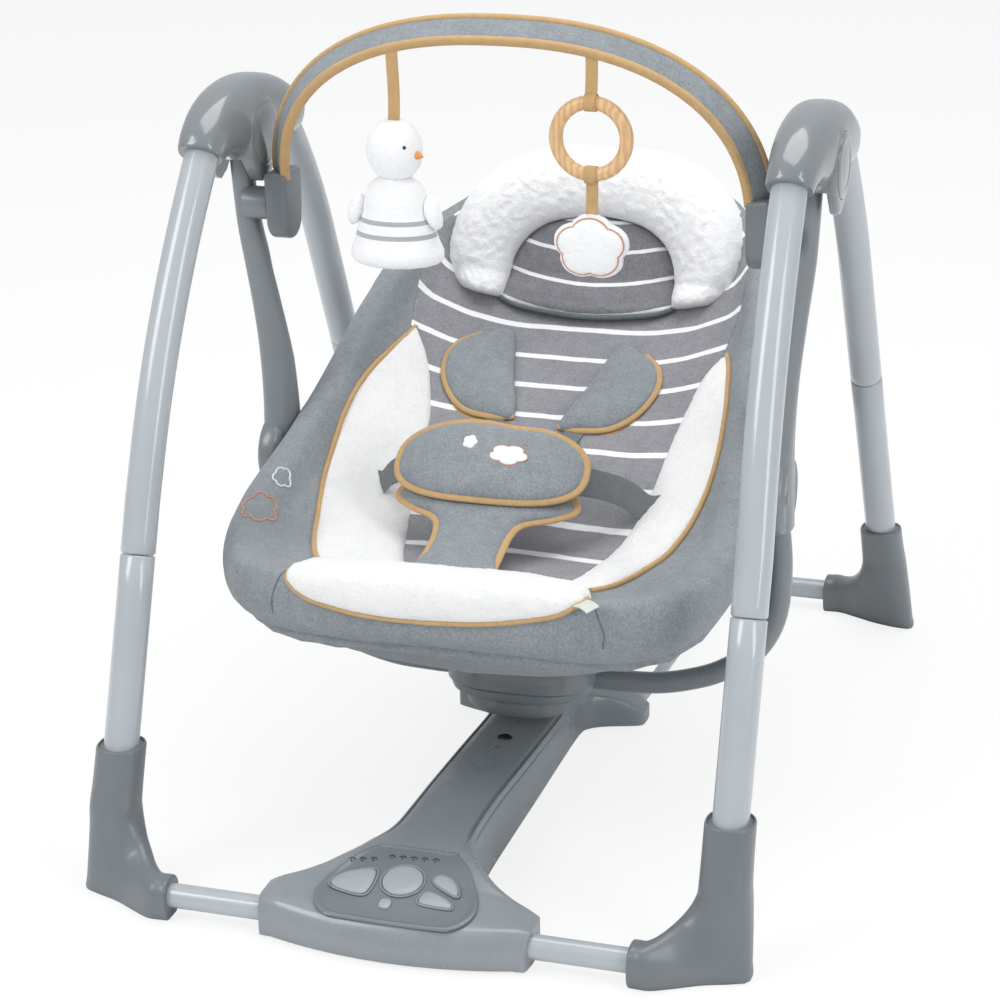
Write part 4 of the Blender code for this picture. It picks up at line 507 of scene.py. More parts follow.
def eased(table, value):
    """A reading of the table along a smooth curve through its pairs."""
    if value <= table[0][0]:
        return table[0][1]
    last = len(table) - 1
    for i in range(last):
        (a, low), (b, high) = table[i], table[i + 1]
        if value <= b:
            t = (value - a) / (b - a)
            before, after = table[max(0, i - 1)], table[min(last, i + 2)]
            m0 = (high - before[1]) / (b - before[0]) * (b - a)
            m1 = (after[1] - low) / (after[0] - a) * (b - a)
            return ((2 * t ** 3 - 3 * t * t + 1) * low + (t ** 3 - 2 * t * t + t) * m0
                    + (3 * t * t - 2 * t ** 3) * high + (t ** 3 - t * t) * m1)
    return table[-1][1]


def tufts(spot, rough=0.6):
    """Noise of a coarse and a finer grain."""
    return noise.noise(spot) + rough * noise.noise(spot * 2.3)


def fluff(obj, amount, size, rough=0.55):
    """Pushes a dense skin in and out in tufts."""
    mesh = obj.data
    mesh.update()
    normals = [v.normal.copy() for v in mesh.vertices]
    for vert, normal in zip(mesh.vertices, normals):
        spot = vert.co / size
        vert.co += normal * (amount * (tufts(spot, rough) + rough * rough * noise.noise(spot * 4.9)))
    mesh.update()
    return obj


def both_sides(make, name, right_body, left_body=None):
    """A right-hand piece and its mirror image, each standing for its CAD node."""
    right = make(name + "_right_look")
    left = mirrored(right, name + "_left_look", left_body or right_body)
    dress(right, right_body)
    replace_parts(right, name + "_right")
    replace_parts(left, name + "_left")


# Legs and floor bars

SEAM = 0.0003


def front_leg(z):
    bend = 1.05 * max(0.0, z - 0.34) ** 2
    return Vector((0.25 - 0.028 * max(0.0, z - 0.3), -0.3095 + 0.374 * (z - 0.1161) + bend, z))


def rear_leg(z):
    bend = -1.63 * max(0.0, z - 0.42) ** 2
    return Vector((0.2563 - 0.022 * max(0.0, z - 0.113), 0.3252 - 0.51 * (z - 0.1131) + bend, z))


def leg_piece(line, low, high, steps):
    """A leg tube that closes in a little at both ends, where two tubes meet in a seam."""
    trim = 0.0012
    zs = [low, low + trim] + [low + (high - low) * i / steps for i in range(1, steps)] + [high - trim, high]
    radii = [LEG_R - trim] + [LEG_R] * (len(zs) - 2) + [LEG_R - trim]
    return lambda name: add_mesh(name, tube_mesh([line(z) for z in zs], radii, 40), TUBES, None, 60.0)


def make_legs():
    for line, tag, body, joint, top, steps in ((front_leg, "front", "frame", 0.2589, 0.5653, 40),
                                               (rear_leg, "rear", "rear_frame", 0.2949, PIVOT_Z - 0.004, 30)):
        both_sides(leg_piece(line, 0.09, joint - SEAM, 6), tag + "_leg_lower", body)
        both_sides(leg_piece(line, joint + SEAM, top, steps), tag + "_leg_upper", body)
    for name, (y, z), xs, body in (("front_bar", FRONT_BAR, (-0.1993, 0.1318, 0.1322, 0.1993), "frame"),
                                   ("rear_bar", REAR_BAR, (-0.2067, -0.0008, 0.0008, 0.2067), "rear_frame")):
        bar = tube(name + "_look", [(x, y, z) for x in xs], BAR_R, TUBES, body, 32, "light_tube")
        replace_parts(bar, name)


def foot_mesh(line, top_z, leg_x, heel_x, nozzle_x, bar_y, bar_z):
    """A foot: an upright sleeve that turns inwards, from the heel on, to a nozzle round the floor bar."""
    half, bend, sink, steps = 0.0195, 0.038, 0.0022, 48
    nozzle = 0.0155
    high = bar_z + nozzle
    inner_x = leg_x - half
    turn_x = inner_x - bend
    turn_z = high + bend
    across = Vector((0, 1, 0))
    rings = []
    heel = heel_x - leg_x - half
    for z in (top_z - 0.002, (top_z * 2 + turn_z) / 3, (top_z + 2 * turn_z) / 3):
        share = (top_z - z) / top_z
        out_x = leg_x + half + heel * share ** 1.5
        y = line(z).y
        rings.append(rounded_ring(Vector((out_x, y, z)), Vector((inner_x, y, z)), half, 2.4, steps, across))
    start_y = line(turn_z).y
    corner = math.degrees(math.atan2(turn_z, heel_x - turn_x))
    turns = [corner * k for k in (0.0, 0.25, 0.5, 0.75, 0.9, 1.0)] + \
            [90 - (90 - corner) * k for k in (0.9, 0.7, 0.45, 0.2, 0.0)]
    for degrees in turns:
        a = math.radians(degrees)
        lean = heel * ((top_z - turn_z) / top_z) ** 1.5
        side_x = leg_x + half + lean + (heel - lean) * degrees / corner
        to_side = (side_x - turn_x) / math.cos(a) if degrees < 85 else 9.0
        to_floor = (turn_z + sink) / math.sin(a) if degrees > 5 else 9.0
        reach = min(to_side, to_floor)
        share = min(1.0, degrees / 76)
        y = start_y + (bar_y - start_y) * share ** 2
        inner = Vector((turn_x + bend * math.cos(a), y, turn_z - bend * math.sin(a)))
        outer = Vector((turn_x + reach * math.cos(a), y, turn_z - reach * math.sin(a)))
        rings.append(rounded_ring(outer, inner, half + (nozzle - half) * share, 2.6, steps, across))
    x = nozzle_x + 0.002
    low_end, high_end = Vector((x, bar_y, -sink)), Vector((x, bar_y, high))
    rings.append(rounded_ring(low_end, high_end, nozzle, 2.6, steps, across))
    rows = between_rings(rings, 4)
    top = rings[0]
    centre = sum(top, Vector()) / steps
    inside = line(top_z)
    lip = []
    for rise, k in ((0.0, 0.995), (0.0012, 0.985), (0.002, 0.955), (0.002, 0.9), (0.0006, 0.87)):
        lip.append([centre + (p - centre) * k + Vector((0, 0, rise)) for p in top])
    neck = [inside + Vector((c, s, 0)) * LEG_R * 0.98 for c, s in unit_circle(steps)]
    rows = [neck] + list(reversed(lip)) + rows
    end = rows[-1]
    middle = sum(end, Vector()) / steps
    for back, k in ((0.0012, 0.985), (0.002, 0.94), (0.002, 0.7)):
        rows.append([middle + (p - middle) * k + Vector((-back, 0, 0)) for p in end])
    for row in rows:
        for p in row:
            p.z = max(p.z, 0.0)
    return skin(rows)


def make_feet():
    for tag, body, *sizes in (("front", "frame", front_leg, 0.1161, 0.25, 0.274, 0.1873, *FRONT_BAR),
                              ("rear", "rear_frame", rear_leg, 0.1131, 0.2563, 0.2868, 0.1947, *REAR_BAR)):
        both_sides(lambda name: add_mesh(name, foot_mesh(*sizes), DARK, None, 45.0), tag + "_foot",
                   body)


# Hubs

HUB_SECTIONS = (
    (-0.117, 0.5631, -0.0878, 0.5395, 0.0188), (-0.1085, 0.5735, -0.0775, 0.541, 0.0198),
    (-0.09, 0.586, -0.064, 0.54, 0.0214), (-0.068, 0.594, -0.05, 0.535, 0.0232),
    (-0.043, 0.598, -0.036, 0.53, 0.0246), (-0.015, 0.599, -0.018, 0.528, 0.025),
    (0.012, 0.596, 0.005, 0.5285, 0.025), (0.038, 0.5895, 0.03, 0.53, 0.0246),
    (0.062, 0.579, 0.05, 0.5305, 0.0236), (0.081, 0.569, 0.064, 0.531, 0.0222),
    (0.0915, 0.559, 0.074, 0.532, 0.0195), (0.094, 0.55, 0.084, 0.537, 0.013),
)
HUB_SLOT = [(-0.05, 0.48), (-0.047, 0.53), (-0.04, 0.56), (-0.02, 0.572), (0.03, 0.573),
            (0.06, 0.57), (0.08, 0.5685), (0.09, 0.56), (0.14, 0.5), (0.14, 0.48)]


def hub_shell(name):
    """The long casing with its round boss, the slot the rear leg folds in and the button's well."""
    across = Vector((1, 0, 0))
    rings = []
    for i, (ty, tz, by, bz, half) in enumerate(HUB_SECTIONS):
        x = HUB_X - 0.0012 * max(0.0, 1.0 - i / 4)
        power = 2.2 + 0.6 * min(1.0, i / 5)
        rings.append(rounded_ring(Vector((x, ty, tz)), Vector((x, by, bz)), half, power, 56, across))
    rows = between_rings(rings, 4)
    first, centre = rows[0], sum(rows[0], Vector()) / len(rows[0])
    back = (rows[0][0] - rows[1][0]).normalized() * 0.0016
    rows = [[centre + (p - centre) * 0.8 + back for p in first],
            [centre + (p - centre) * 0.96 + back for p in first]] + rows
    casing = add_mesh(name, skin(rows), GLOSS)
    outline = arc((HUB_Y, HUB_Z), 0.0325, -38, 212, 44) + [
        (HUB_Y - 0.012, HUB_Z - 0.036), (HUB_Y - 0.003, HUB_Z - 0.04), (HUB_Y + 0.01, HUB_Z - 0.0345)]
    boss = bevel(add_mesh("boss", plate(outline, 0.05, yz_place(HUB_X)), GLOSS), 0.004, 3, 50.0)
    boolean(casing, boss, "UNION")
    slot = add_mesh("slot", plate(HUB_SLOT, 0.0299, yz_place(0.24675)), GLOSS)
    boolean(casing, slot, "DIFFERENCE")
    well = disc("well", (BUTTON_X, HUB_Y, HUB_Z), (1, 0, 0), ((-0.0062, 0.0273), (0.01, 0.0273)), GLOSS)
    boolean(casing, well, "DIFFERENCE")
    return smoothed(casing, 35.0)


def make_hubs():
    both_sides(hub_shell, "hub_casing", "frame")

    def cap(name):
        profile = ((-0.003, 0.0268), (0.0, 0.0268), (0.001, 0.0262), (0.0018, 0.0235), (0.0022, 0.0195),
                   (0.0016, 0.018), (0.0017, 0.0165), (0.0024, 0.01), (0.0026, 0.003))
        return disc(name, (BUTTON_X, HUB_Y, HUB_Z), (1, 0, 0), profile, GLOSS)

    both_sides(cap, "fold_button", "fold_button_right", "fold_button_left")
    profile = ((-0.001, 0.0262), (0.0006, 0.026), (0.0016, 0.024), (0.0026, 0.018), (0.0031, 0.009),
               (0.0032, 0.002))
    right = disc("hub_inner_disc_right", (0.2197, HUB_Y, HUB_Z), (-1, 0, 0), profile, GLOSS)
    mirrored(right, "hub_inner_disc_left", "frame")
    dress(right, "frame")


# Hanger arms, lower tube and drive unit

ARM_LINE = ((0.2443, -0.018, 0.55), (0.2443, -0.018, 0.54), (0.2408, -0.0168, 0.48),
            (0.2358, -0.015, 0.44), (0.2302, -0.0135, 0.4), (0.2254, -0.0128, 0.36),
            (0.223, -0.0125, 0.32), (0.2228, -0.0125, 0.29), (0.224, -0.0125, 0.238))
LOWER_LINE = ((0.2228, 0.245), (0.2262, 0.2), (0.222, 0.155), (0.205, 0.122), (0.177, 0.101),
              (0.15, 0.0895), (0.118, 0.082), (0.08, 0.08))


def arm_mesh(name):
    """The arm, a little wider front to back as it nears the seat's joint, with its round housing."""
    points = spline(ARM_LINE, 50)
    rings = []
    for p in points:
        deep = BAR_R + 0.011 * clamp((0.4 - p.z) / 0.1) ** 1.4
        flare = 0.0016 * clamp((0.49 - p.z) / 0.04) + 0.003 * clamp((0.43 - p.z) / 0.08)
        rings.append([p + Vector(((BAR_R + flare) * x - 0.6 * flare, deep * y, 0))
                      for x, y in super_outline(1, 1, 0, 2.3, 32)])
    arm = add_mesh(name, skin(rings), ARM_PLASTIC)
    house = ((0.0, 0.0285), (0.0008, 0.031), (0.0045, 0.0345), (0.006, 0.035), (0.015, 0.035),
             (0.018, 0.0335), (0.02, 0.03), (0.0192, 0.0285), (0.0192, 0.015), (0.0205, 0.014),
             (0.0205, 0.002))
    eye = ((-0.0098, 0.015), (-0.0085, 0.0165), (0.0085, 0.0165), (0.0098, 0.015))
    for part, centre, profile in (
            ("eye", (0.2443, HUB_Y, HUB_Z), eye),
            ("house", (0.2125, JOINT_Y, JOINT_Z), house),
            ("boss", (0.2158, BOW_Y, BOW_Z), ((0.0, 0.0125), (0.001, 0.014), (0.023, 0.014))),
            ("pin", (0.1985, JOINT_Y, JOINT_Z), ((0.0, 0.0055), (0.0005, 0.006), (0.018, 0.006)))):
        boolean(arm, disc(part, centre, (1, 0, 0), profile, DARK), "UNION")
    return smoothed(arm, 35.0)


def make_swing_frame():
    both_sides(arm_mesh, "swing_arm", "swing")
    line = both_ways(spline([(x, JOINT_Y, z) for x, z in LOWER_LINE], 40))
    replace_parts(tube("lower_tube_look", line, 0.0095, ARM_PLASTIC, "swing", 28, "dark_plastic"), "lower_tube")

    def housing(name, profile, node, centre_y, power=3.0):
        rings = []
        for z, half_x, half_y in profile:
            rings.append([Vector((x, y, z)) for x, y in super_outline(half_x, half_y, centre_y, power, 96)])
        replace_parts(add_mesh(name, skin(rings), ARM_PLASTIC, "swing", 35.0), node)

    housing("drive_cover_top_look", (
        (0.0802, 0.0655, 0.0515), (0.0812, 0.0665, 0.0525), (0.087, 0.0662, 0.0522), (0.096, 0.0655, 0.0512),
        (0.101, 0.064, 0.0497), (0.1045, 0.0608, 0.0466), (0.1066, 0.0565, 0.0425), (0.1075, 0.0515, 0.0375),
        (0.1068, 0.0495, 0.0355), (0.1068, 0.044, 0.03), (0.1074, 0.042, 0.028), (0.1074, 0.01, 0.008)),
        "drive_cover_top", -0.012)
    housing("drive_cover_bottom_look", (
        (0.0547, 0.03, 0.03), (0.0545, 0.042, 0.0395), (0.0555, 0.046, 0.044), (0.059, 0.049, 0.0468),
        (0.064, 0.05, 0.048), (0.069, 0.0504, 0.0482), (0.0702, 0.06, 0.047), (0.0712, 0.0628, 0.049),
        (0.074, 0.064, 0.05), (0.0788, 0.064, 0.05), (0.0798, 0.063, 0.049)),
        "drive_cover_bottom", -0.014, 2.6)


# Base unit

BASE_ROWS = (
    (-0.3965, 0.1, 0.018, 0.0), (-0.3985, 0.1075, 0.018, 0.45), (-0.3925, 0.1095, 0.018, 0.92),
    (-0.382, 0.1105, 0.016, 1.0), (-0.368, 0.1105, 0.01, 1.0), (-0.354, 0.1105, 0.004, 1.0),
    (-0.345, 0.1085, 0.0, 1.0), (-0.338, 0.088, 0.0, 1.0), (-0.328, 0.069, 0.0, 1.0),
    (-0.312, 0.053, 0.0, 1.0), (-0.295, 0.044, 0.0, 1.0), (-0.27, 0.038, 0.0, 1.0),
    (-0.23, 0.036, 0.0, 1.0), (-0.17, 0.036, 0.0, 1.0), (-0.1, 0.0365, 0.0, 1.0),
    (-0.03, 0.0365, 0.0, 1.0), (0.028, 0.0375, 0.0, 1.0), (0.042, 0.043, 0.0, 1.0),
    (0.05, 0.056, -0.006, 1.0), (0.056, 0.074, -0.014, 1.0), (0.061, 0.086, -0.016, 1.0),
    (0.069, 0.0885, -0.008, 1.0), (0.079, 0.0885, 0.0, 1.0), (0.084, 0.088, 0.0, 0.96),
    (0.087, 0.087, 0.0, 0.6), (0.088, 0.0865, 0.0, 0.0),
)
BASE_RIDGE = ((-0.3985, 0.03), (-0.382, 0.035), (-0.312, 0.054), (-0.27, 0.055), (-0.2, 0.0535),
              (-0.12, 0.048), (-0.078, 0.045), (-0.03, 0.0415), (0.02, 0.04), (0.088, 0.039))
BASE_REACH = 0.1105
BASE_LOW = 0.003
PANEL_SLOPE = math.atan2(0.054 - 0.035, 0.382 - 0.312)


def base_top(x, y):
    """The height of the base's upper side: a ridge that falls to its front corners and rear wings."""
    ridge = eased(BASE_RIDGE, y)
    share = min(1.0, abs(x) / BASE_REACH)
    front = clamp((-0.322 - y) / 0.02)
    z = ridge + (0.0365 - ridge) * front * share ** 2.5
    wing = clamp((y - 0.01) / 0.025)
    return z - 0.03 * wing * share ** 2


# Across the spine: share of the half width, fall below the top
BASE_PROFILE = ((0.0, 0.0), (0.2, 0.0), (0.4, 0.0), (0.58, 0.0), (0.7, 0.0002), (0.755, 0.0009),
                (0.775, 0.0032), (0.8, 0.0038), (0.825, 0.0032), (0.845, 0.0022), (0.87, 0.0022),
                (0.9, 0.0034), (0.925, 0.0056), (0.945, 0.0058), (0.965, 0.0064), (0.985, 0.0086),
                (1.0, 0.0125))


def base_mesh():
    """The base unit as rows across it, from its front to its rear wings."""
    rows = []
    for y, half, bow, height in dense_rows():
        row = []
        spine = clamp((-0.3 - y) / -0.035) * clamp((0.03 - y) / 0.03)
        for share, fall in BASE_PROFILE:
            x = half * share
            rim = 0.0045 * max(0.0, (share - 0.82) / 0.18) ** 2
            drop = rim + (fall * 1.15 - rim) * spine
            z = BASE_LOW + (base_top(x, y) - drop - BASE_LOW) * height
            row.append(Vector((x, y + bow * (x / BASE_REACH) ** 2, z)))
        edge = row[-1]
        for z_share, out in ((0.7, 0.0), (0.4, 0.0), (0.3, 0.0006), (0.12, 0.0008)):
            row.append(Vector((edge.x + out * spine, edge.y, BASE_LOW + (edge.z - BASE_LOW) * z_share)))
        row += [Vector((edge.x, edge.y, BASE_LOW)), Vector((0.0, edge.y, BASE_LOW))]
        rows.append(row)
    full = [list(reversed([Vector((-p.x, p.y, p.z)) for p in row[1:-1]])) + row for row in rows]
    bm = skin(full, True, True)
    bmesh.ops.remove_doubles(bm, verts=bm.verts, dist=0.00002)
    return bm


def dense_rows():
    """The rows of the base at closer steps: place, half width, bow of its front and share of height."""
    rings = [[Vector((r[0], r[1], r[2])), Vector((r[3], 0, 0))] for r in BASE_ROWS]
    return [(a.x, a.y, max(0.0, a.z), clamp(b.x)) for a, b in between_rings(rings, 4)]


def slope_place(x, y, lift):
    """A place on the sloping panel, its z along the slope's normal."""
    return (Matrix.Translation((x, y, base_top(0.0, y))) @ Matrix.Rotation(PANEL_SLOPE, 4, "X")
            @ Matrix.Translation((0, 0, lift)))


KEYS_AT = {
    "speed_button": ((0.0, -0.346), circle((0, 0), 0.016, 56)),
    "timer_button": ((-0.04, -0.352), closed_curve(
        [(0.015, 0.0135), (0.015, -0.0115), (-0.002, -0.012), (-0.015, -0.006), (-0.006, 0.007)], 10)),
    "sound_button": ((0.033, -0.344), closed_curve(
        [(-0.006, 0.008), (0.004, 0.006), (0.012, -0.003), (0.012, -0.011), (-0.008, 0.0)], 10)),
    "volume_button": ((0.033, -0.36), closed_curve(
        [(-0.013, -0.006), (-0.009, 0.006), (0.009, -0.001), (0.011, -0.008)], 12)),
    "power_switch": ((-0.006, -0.3715), closed_curve(
        [(0.0038, 0.0042), (-0.0038, 0.0042), (-0.0038, -0.0042), (0.0038, -0.0042)], 10)),
}


def make_base():
    base = add_mesh("base_housing_look", base_mesh(), BASE_SHELL, "frame", 30.0)
    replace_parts(base, "base_housing")


def make_panel():
    rows = ((-0.39, 0.038), (-0.387, 0.053), (-0.378, 0.062), (-0.365, 0.0655), (-0.35, 0.062),
            (-0.335, 0.054), (-0.322, 0.045), (-0.311, 0.034), (-0.308, 0.028))
    edge = closed_curve(both_ways([(half, y) for y, half in rows]), 5)
    centre = Vector((0.0, -0.35))
    layers = []
    for k, up in ((1.0, 0.0002), (1.0, 0.0012), (0.985, 0.0019), (0.955, 0.0021), (0.925, 0.0014),
                  (0.88, 0.0012), (0.6, 0.0012), (0.3, 0.0012)):
        ring = []
        for p in edge:
            spot = centre + (Vector((p[0], p[1])) - centre) * k
            ring.append(Vector((spot.x, spot.y, base_top(spot.x, spot.y) + up)))
        layers.append(ring)
    panel = add_mesh("control_panel_look", skin(layers), PANEL, "frame", 30.0)
    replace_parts(panel, "control_panel")


def make_keys():
    """The keys and the slide switch; each key has a rim round it."""
    crown = ((1.0, -0.0048), (1.0, 0.0016), (0.975, 0.0022), (0.93, 0.0025), (0.6, 0.0029), (0.2, 0.0031))
    for name, (spot, outline) in KEYS_AT.items():
        place = slope_place(*spot, 0.0005)
        rings = [[place @ Vector((p[0] * k, p[1] * k, up)) for p in outline] for k, up in crown]
        key = add_mesh(name + "_look", skin(rings), KEYS, name, 35.0)
        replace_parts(key, name)
        if name == "power_switch":
            continue
        rim = [slope_place(*spot, 0.0016) @ Vector((p[0] * 1.09, p[1] * 1.09, 0.0)) for p in outline]
        tube(name + "_surround", rim, 0.0008, KEY_RING, "frame", 8, "dark_plastic", closed=True)


def make_marks():
    """Plain marks over the panel, the status window and the dimple behind it."""
    for k in range(8):
        x = -0.017 + 0.0088 * k if k < 5 else -0.0475 + 0.0085 * (k - 5)
        y = -0.3215 + 0.0006 * (k - 2) if k < 5 else -0.331 + 0.0016 * (k - 5)
        place = slope_place(x, y, 0.0014)
        turns = [math.radians(20 + 140 * step / 8) for step in range(9)]
        points = [place @ Vector((0.0026 * math.cos(a), 0.0026 * math.sin(a), 0)) for a in turns]
        tube("mark_%d" % k, points, 0.00045, INK, "frame", 8, "dark_plastic")
        dot = slope_place(x, y - 0.0004, 0.0014)
        disc("mark_dot_%d" % k, dot.translation, dot.to_3x3() @ Vector((0, 0, 1)),
             ((-0.0004, 0.0008), (0.0003, 0.0007)), INK, "frame", 12)
    window = ((-0.003, 0.0066), (0.0004, 0.0066), (0.0007, 0.006), (0.0002, 0.0055), (0.0004, 0.001))
    dimple = ((-0.001, 0.003), (0.0003, 0.003), (0.0004, 0.0022), (0.0001, 0.0016))
    for name, y, profile, look, sides in (("status_window", -0.0782, window, WINDOW, 40),
                                          ("small_dimple", -0.101, dimple, PANEL, 24)):
        disc(name, (0, y, base_top(0, y)), (0, 0, 1), profile, look, "frame", sides)


def make_rods():
    """The rods from the base to the rear floor bar, with their hooks."""
    bar_y, bar_z = REAR_BAR
    top = bar_z + BAR_R + 0.0003 + ROD_R
    for side, tag in SIDES:
        points = spline([(side * 0.0756, 0.065, 0.0144), (side * 0.0903, 0.2205, 0.0246),
                         (side * 0.105, 0.377, top)], 12)
        rod = tube("brace_rod_%s_look" % tag, points, ROD_R, TUBES, "frame", 24, "light_tube")
        hook_points = [(side * 0.105, y, z) for y, z in arc(REAR_BAR, 0.0139, 118, -12, 24)]
        hook = tube("brace_hook_%s" % tag, hook_points, 0.0072, DARK, "frame", 20, "dark_plastic",
                    flat=0.5, normal_at=lambda p: (p - Vector((p.x, bar_y, bar_z))).normalized())
        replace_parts(rod, "brace_rod_" + tag)
        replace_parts(hook, "brace_rod_" + tag)


make_legs()
make_feet()
make_hubs()
make_swing_frame()
make_base()
make_panel()
make_keys()
make_marks()
make_rods()


# Seat shell

RIM = ((0.0, 0.3, 0.478), (0.08, 0.288, 0.462), (0.138, 0.25, 0.43), (0.164, 0.2, 0.41),
       (0.175, 0.145, 0.39), (0.183, 0.08, 0.356), (0.19, 0.01, 0.319), (0.198, -0.05, 0.293),
       (0.203, -0.105, 0.272), (0.197, -0.16, 0.258), (0.174, -0.212, 0.252), (0.125, -0.247, 0.255),
       (0.06, -0.262, 0.262), (0.0, -0.265, 0.264))
FLOOR_LINE = ((-0.265, 0.264), (-0.232, 0.253), (-0.2, 0.243), (-0.15, 0.235), (-0.08, 0.235),
              (-0.02, 0.247), (0.03, 0.27), (0.254, 0.372), (0.282, 0.4), (0.294, 0.44), (0.3, 0.48))
UNDER_LINE = ((-0.29, 0.22), (-0.25, 0.185), (-0.2, 0.158), (-0.12, 0.128), (-0.06, 0.11),
              (0.038, 0.11), (0.1, 0.165), (0.18, 0.24), (0.25, 0.31), (0.29, 0.37), (0.33, 0.45))
RIM_DROP = 0.052
LINING_WIDTHS = ((-0.2, 0.11), (-0.15, 0.118), (-0.05, 0.128), (0.05, 0.14), (0.11, 0.144),
                 (0.15, 0.15), (0.19, 0.15), (0.225, 0.142), (0.255, 0.118), (0.28, 0.07),
                 (0.295, 0.035), (0.3, 0.012))
LINING_END = 0.288
SPINE_SHARE, SPINE_Y = 0.62, -0.01


def towards(crest, share):
    """The spot at a share of the way from the seat's spine to a crest of its rim."""
    anchor = SPINE_Y + SPINE_SHARE * (crest.y - SPINE_Y)
    return crest.x * share, anchor + (crest.y - anchor) * share


def seat_ring(rim, share, line, edge_drop, power):
    points = []
    for crest in rim:
        x, y = towards(crest, share)
        middle = eased(line, y)
        z = middle + (crest.z - edge_drop - middle) * max(0.0, share) ** power
        points.append(Vector((x, y, z)))
    return points


def seat_shell():
    """The padded shell: underside, rolled rim and the hollow for the child, with soft swells."""
    rim = spline(RIM, 72)
    rings = [seat_ring(rim, share, UNDER_LINE, RIM_DROP, 2.6) for share in (0.0, 0.45, 0.72, 0.9, 1.0)]
    for share, drop in ((1.06, 0.04), (1.085, 0.022), (1.055, 0.005), (1.0, 0.0), (0.93, 0.003)):
        rings.append([Vector((*towards(crest, share), crest.z - drop)) for crest in rim])
    rings += [seat_ring(rim, share, FLOOR_LINE, 0.004, 3.4) for share in (0.86, 0.74, 0.58, 0.36, 0.0)]
    rows = between_rings(rings, 5)
    full = [row + [Vector((-p.x, p.y, p.z)) for p in reversed(row[1:-1])] for row in rows]
    bm = skin(full, True, False)
    bmesh.ops.remove_doubles(bm, verts=bm.verts, dist=0.00005)
    shell = add_mesh("seat_shell", bm, HEATHER, None, 80.0)
    shell.data.update()
    for vert in shell.data.vertices:
        co = vert.co
        outside = clamp((math.hypot(co.x / 0.19, (co.y - 0.02) / 0.29) - 0.72) / 0.2)
        swell = noise.noise(co * 17) * 0.0022 + noise.noise(co * 43) * 0.0008
        vert.co += vert.normal * (swell * outside)
    return shell


def tree_of(obj):
    bm = bmesh.new()
    bm.from_mesh(obj.data)
    bm.transform(obj.matrix_world)
    tree = BVHTree.FromBMesh(bm)
    bm.free()
    return tree


def cover_tube(shell, node):
    """Lets the shell bulge over the support tube sewn into its underside."""
    tree = tree_of(node)
    cover = 0.0016
    for vert in shell.data.vertices:
        way = vert.normal
        spot = vert.co - way * 0.012
        out = None
        for _ in range(4):
            place, normal, _, _ = tree.ray_cast(spot, way, 0.034)
            if place is None:
                break
            if normal.dot(way) > 0:
                out = place
            spot = place + way * 0.0002
        if out is not None and (out - vert.co).dot(way) > -cover:
            vert.co = out + way * cover


SHELL = seat_shell()
for frame_node in ("seat_frame", "back_frame"):
    cover_tube(SHELL, NODES[frame_node])
SHELL_TREE = tree_of(SHELL)


def on_seat(x, y, lift=0.0):
    """The spot of the seat's lining over (x, y), lifted along its normal."""
    hit, normal, _, _ = SHELL_TREE.ray_cast(Vector((x, y, 1.0)), Vector((0, 0, -1)))
    if hit is None:
        raise ValueError("no seat under %.3f %.3f" % (x, y))
    return hit + normal * lift, normal


def smooth_points(rows, times=2):
    """Evens out a grid of points, its edges left in place."""
    for _ in range(times):
        fresh = [[p.copy() for p in row] for row in rows]
        for i in range(1, len(rows) - 1):
            for j in range(1, len(rows[0]) - 1):
                fresh[i][j] = (rows[i][j] * 2 + rows[i - 1][j] + rows[i + 1][j]
                               + rows[i][j - 1] + rows[i][j + 1]) / 6
        rows = fresh
    return rows


def grid_pad(top, under, name, look, body=None, angle=70.0):
    """A closed pad over a grid of top points and a grid of underside points with the same edge."""
    bm = bmesh.new()
    a = [[bm.verts.new(p) for p in row] for row in top]
    b = [[bm.verts.new(p) for p in row] for row in under]
    for grid in (a, b):
        for first, second in zip(grid, grid[1:]):
            for k in range(len(first) - 1):
                bm.faces.new((first[k], first[k + 1], second[k + 1], second[k]))
    for row in (0, -1):
        for k in range(len(a[0]) - 1):
            bm.faces.new((a[row][k], a[row][k + 1], b[row][k + 1], b[row][k]))
    for col in (0, -1):
        for i in range(len(a) - 1):
            bm.faces.new((a[i][col], a[i + 1][col], b[i + 1][col], b[i][col]))
    bmesh.ops.remove_doubles(bm, verts=bm.verts, dist=0.00001)
    return add_mesh(name, bm, look, body, angle)


def crowned_pad(name, spots, crown, look, power, taper, under, tuft=0.0008, size=0.0045):
    """A padded strip over rows of seat spots: full in its middle, thin at its edge, with a tufted pile."""
    top, low = [], []
    for i, row in enumerate(spots):
        end = max(0.0, 1 - abs(2 * (i / (len(spots) - 1)) - 1) ** taper) ** 0.5
        top_row, low_row = [], []
        for j, (point, normal) in enumerate(row):
            rise = crown * end * max(0.0, 1 - abs(2 * (j / (len(row) - 1)) - 1) ** power) ** 0.5
            rise += tuft * min(1.0, rise / 0.004) * tufts(point / size)
            top_row.append(point + normal * (rise + 0.0004))
            low_row.append(point - normal * under)
        top.append(top_row)
        low.append(low_row)
    return grid_pad(top, low, name, look)


def on_skin(point, lift=0.0):
    """The spot of the seat's skin nearest to a point, lifted along its normal."""
    hit, normal, _, _ = SHELL_TREE.find_nearest(Vector(point))
    return hit + normal * lift, normal


def bend_at_hinge(obj):
    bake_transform(obj)


